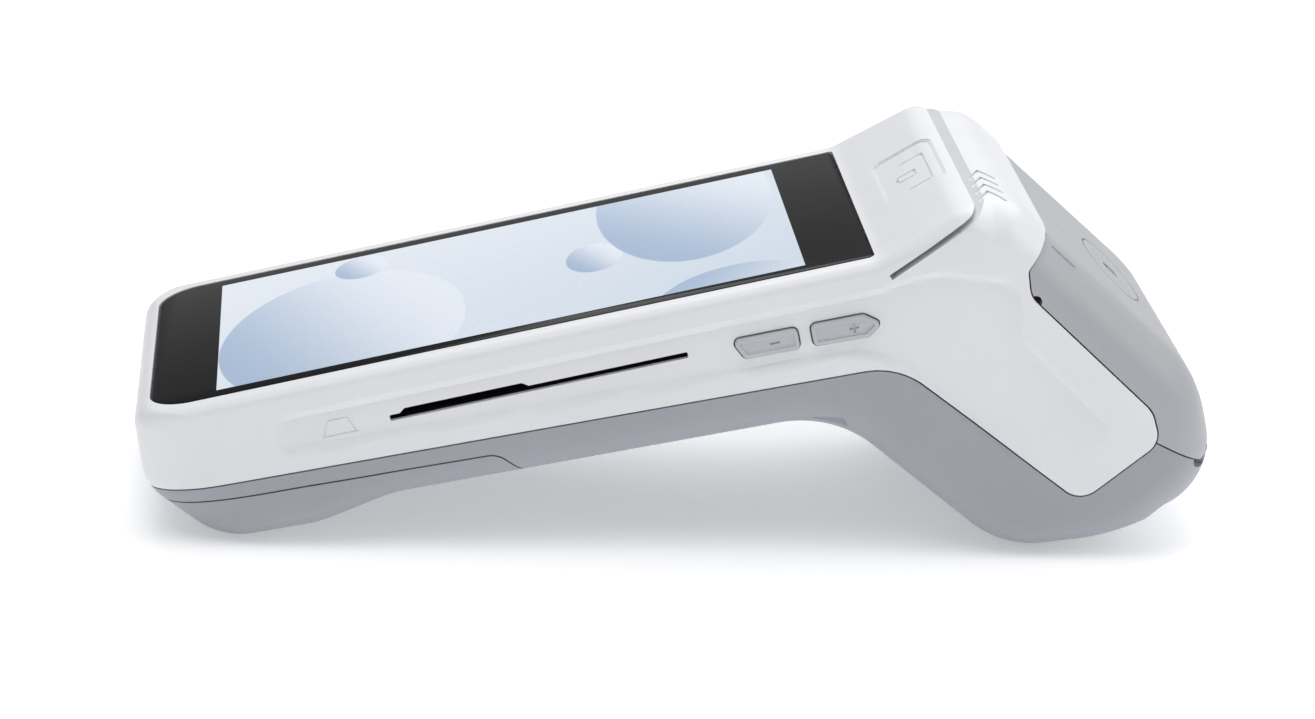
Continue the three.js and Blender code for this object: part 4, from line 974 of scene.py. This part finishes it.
# ---- Carried-over CAD nodes ----
LOOKS = [
    (STEEL, [
        "hinge_pin_near", "hinge_pin_far", "lcd_panel", "shield_can_1", "shield_can_2", "coin_cell",
        "usb_port", "magstripe_head", "magstripe_spring", "head_spring_near", "head_spring_far",
        "tear_bar", "platen_shaft", "printer_frame", "stepper_motor",
        *[f"housing_screw_{k}" for k in range(1, 7)],
    ]),
    (ALLOY, ["mid_frame", "heat_sink"]),
    (RUBBER, ["front_foot_near", "front_foot_far", "rear_foot_near", "rear_foot_far", "platen_roller"]),
    (BOARD, ["main_board", "side_key_board", "power_key_board"]),
    (BLACK_PLASTIC, ["card_reader", "loudspeaker", "print_head", "paper_bay"]),
    (BRASS, ["card_contacts", "contactless_antenna", "motor_pinion"]),
    (NYLON, ["platen_gear", "idler_gear"]),
    (WRAP, ["battery_pack"]),
]
for look, names in LOOKS:
    for name in names:
        painted(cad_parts[name], look)


# ---- Setting ----
def area_light(name, place, target, size, power):
    """A soft rectangular light, aimed at a target."""
    data = bpy.data.lights.new(name, "AREA")
    data.shape = "RECTANGLE"
    data.size, data.size_y = size
    data.energy = power
    obj = bpy.data.objects.new(name, data)
    obj.location = place
    obj.rotation_euler = (Vector(target) - Vector(place)).to_track_quat("-Z", "Y").to_euler()
    bpy.context.scene.collection.objects.link(obj)


def pale_floor():
    """A plain floor, a little lit by itself so that it stays near white."""
    half = 3.0
    corners = [(-half, -half, 0), (half, -half, 0), (half, half, 0), (-half, half, 0)]
    obj = new_object("floor", corners, [(0, 1, 2, 3)], standing=False)
    m = Nodes("floor")
    cloud = m.ranged(m.noise(3, 3), 0.3, 0.7, 0.0, 1.0)
    m.set(Base_Color=m.mix(cloud, colour(250, 250, 251), colour(247, 247, 249)))
    m.set(Roughness=0.75, Emission_Color=(1.0, 1.0, 1.0, 1.0), Emission_Strength=0.3)
    return painted(obj, m.material)


pale_floor()
area_light("key", (-0.2, -0.22, 1.1), (0, 0, 0.03), (0.9, 0.9), 6.2)
area_light("back", (0.25, 0.75, 0.85), (0, 0, 0.04), (1.2, 0.8), 7.2)
area_light("front_fill", (0.25, -1.3, 0.35), (0, 0, 0.03), (1.0, 0.5), 0.5)
area_light("head_side", (0.95, -0.12, 0.6), (0.06, 0, 0.04), (0.6, 0.6), 2.6)
world = bpy.data.worlds.new("studio")
world.use_nodes = True
background = world.node_tree.nodes["Background"]
background.inputs["Color"].default_value = (1.0, 1.0, 1.0, 1.0)
background.inputs["Strength"].default_value = 0.28
bpy.context.scene.world = world
bpy.context.scene.view_settings.view_transform = "Standard"

CAMERA_PLACE = Vector((-0.07464, -0.77640, 0.29343))
CAMERA_FORWARD = Vector((0.08854, 0.94155, -0.32502)).normalized()
CAMERA_UP = Vector((-0.01768, 0.32773, 0.94461))
camera_data = bpy.data.cameras.new("camera")
camera_data.lens, camera_data.sensor_width = 116.4, 36.0
camera_data.clip_start = 0.01
camera = bpy.data.objects.new("camera", camera_data)
right = CAMERA_FORWARD.cross(CAMERA_UP).normalized()
upright = right.cross(CAMERA_FORWARD)
axes = Matrix((right, upright, -CAMERA_FORWARD)).transposed()
camera.matrix_world = Matrix.Translation(CAMERA_PLACE) @ axes.to_4x4()
bpy.context.scene.collection.objects.link(camera)
bpy.context.scene.camera = camera
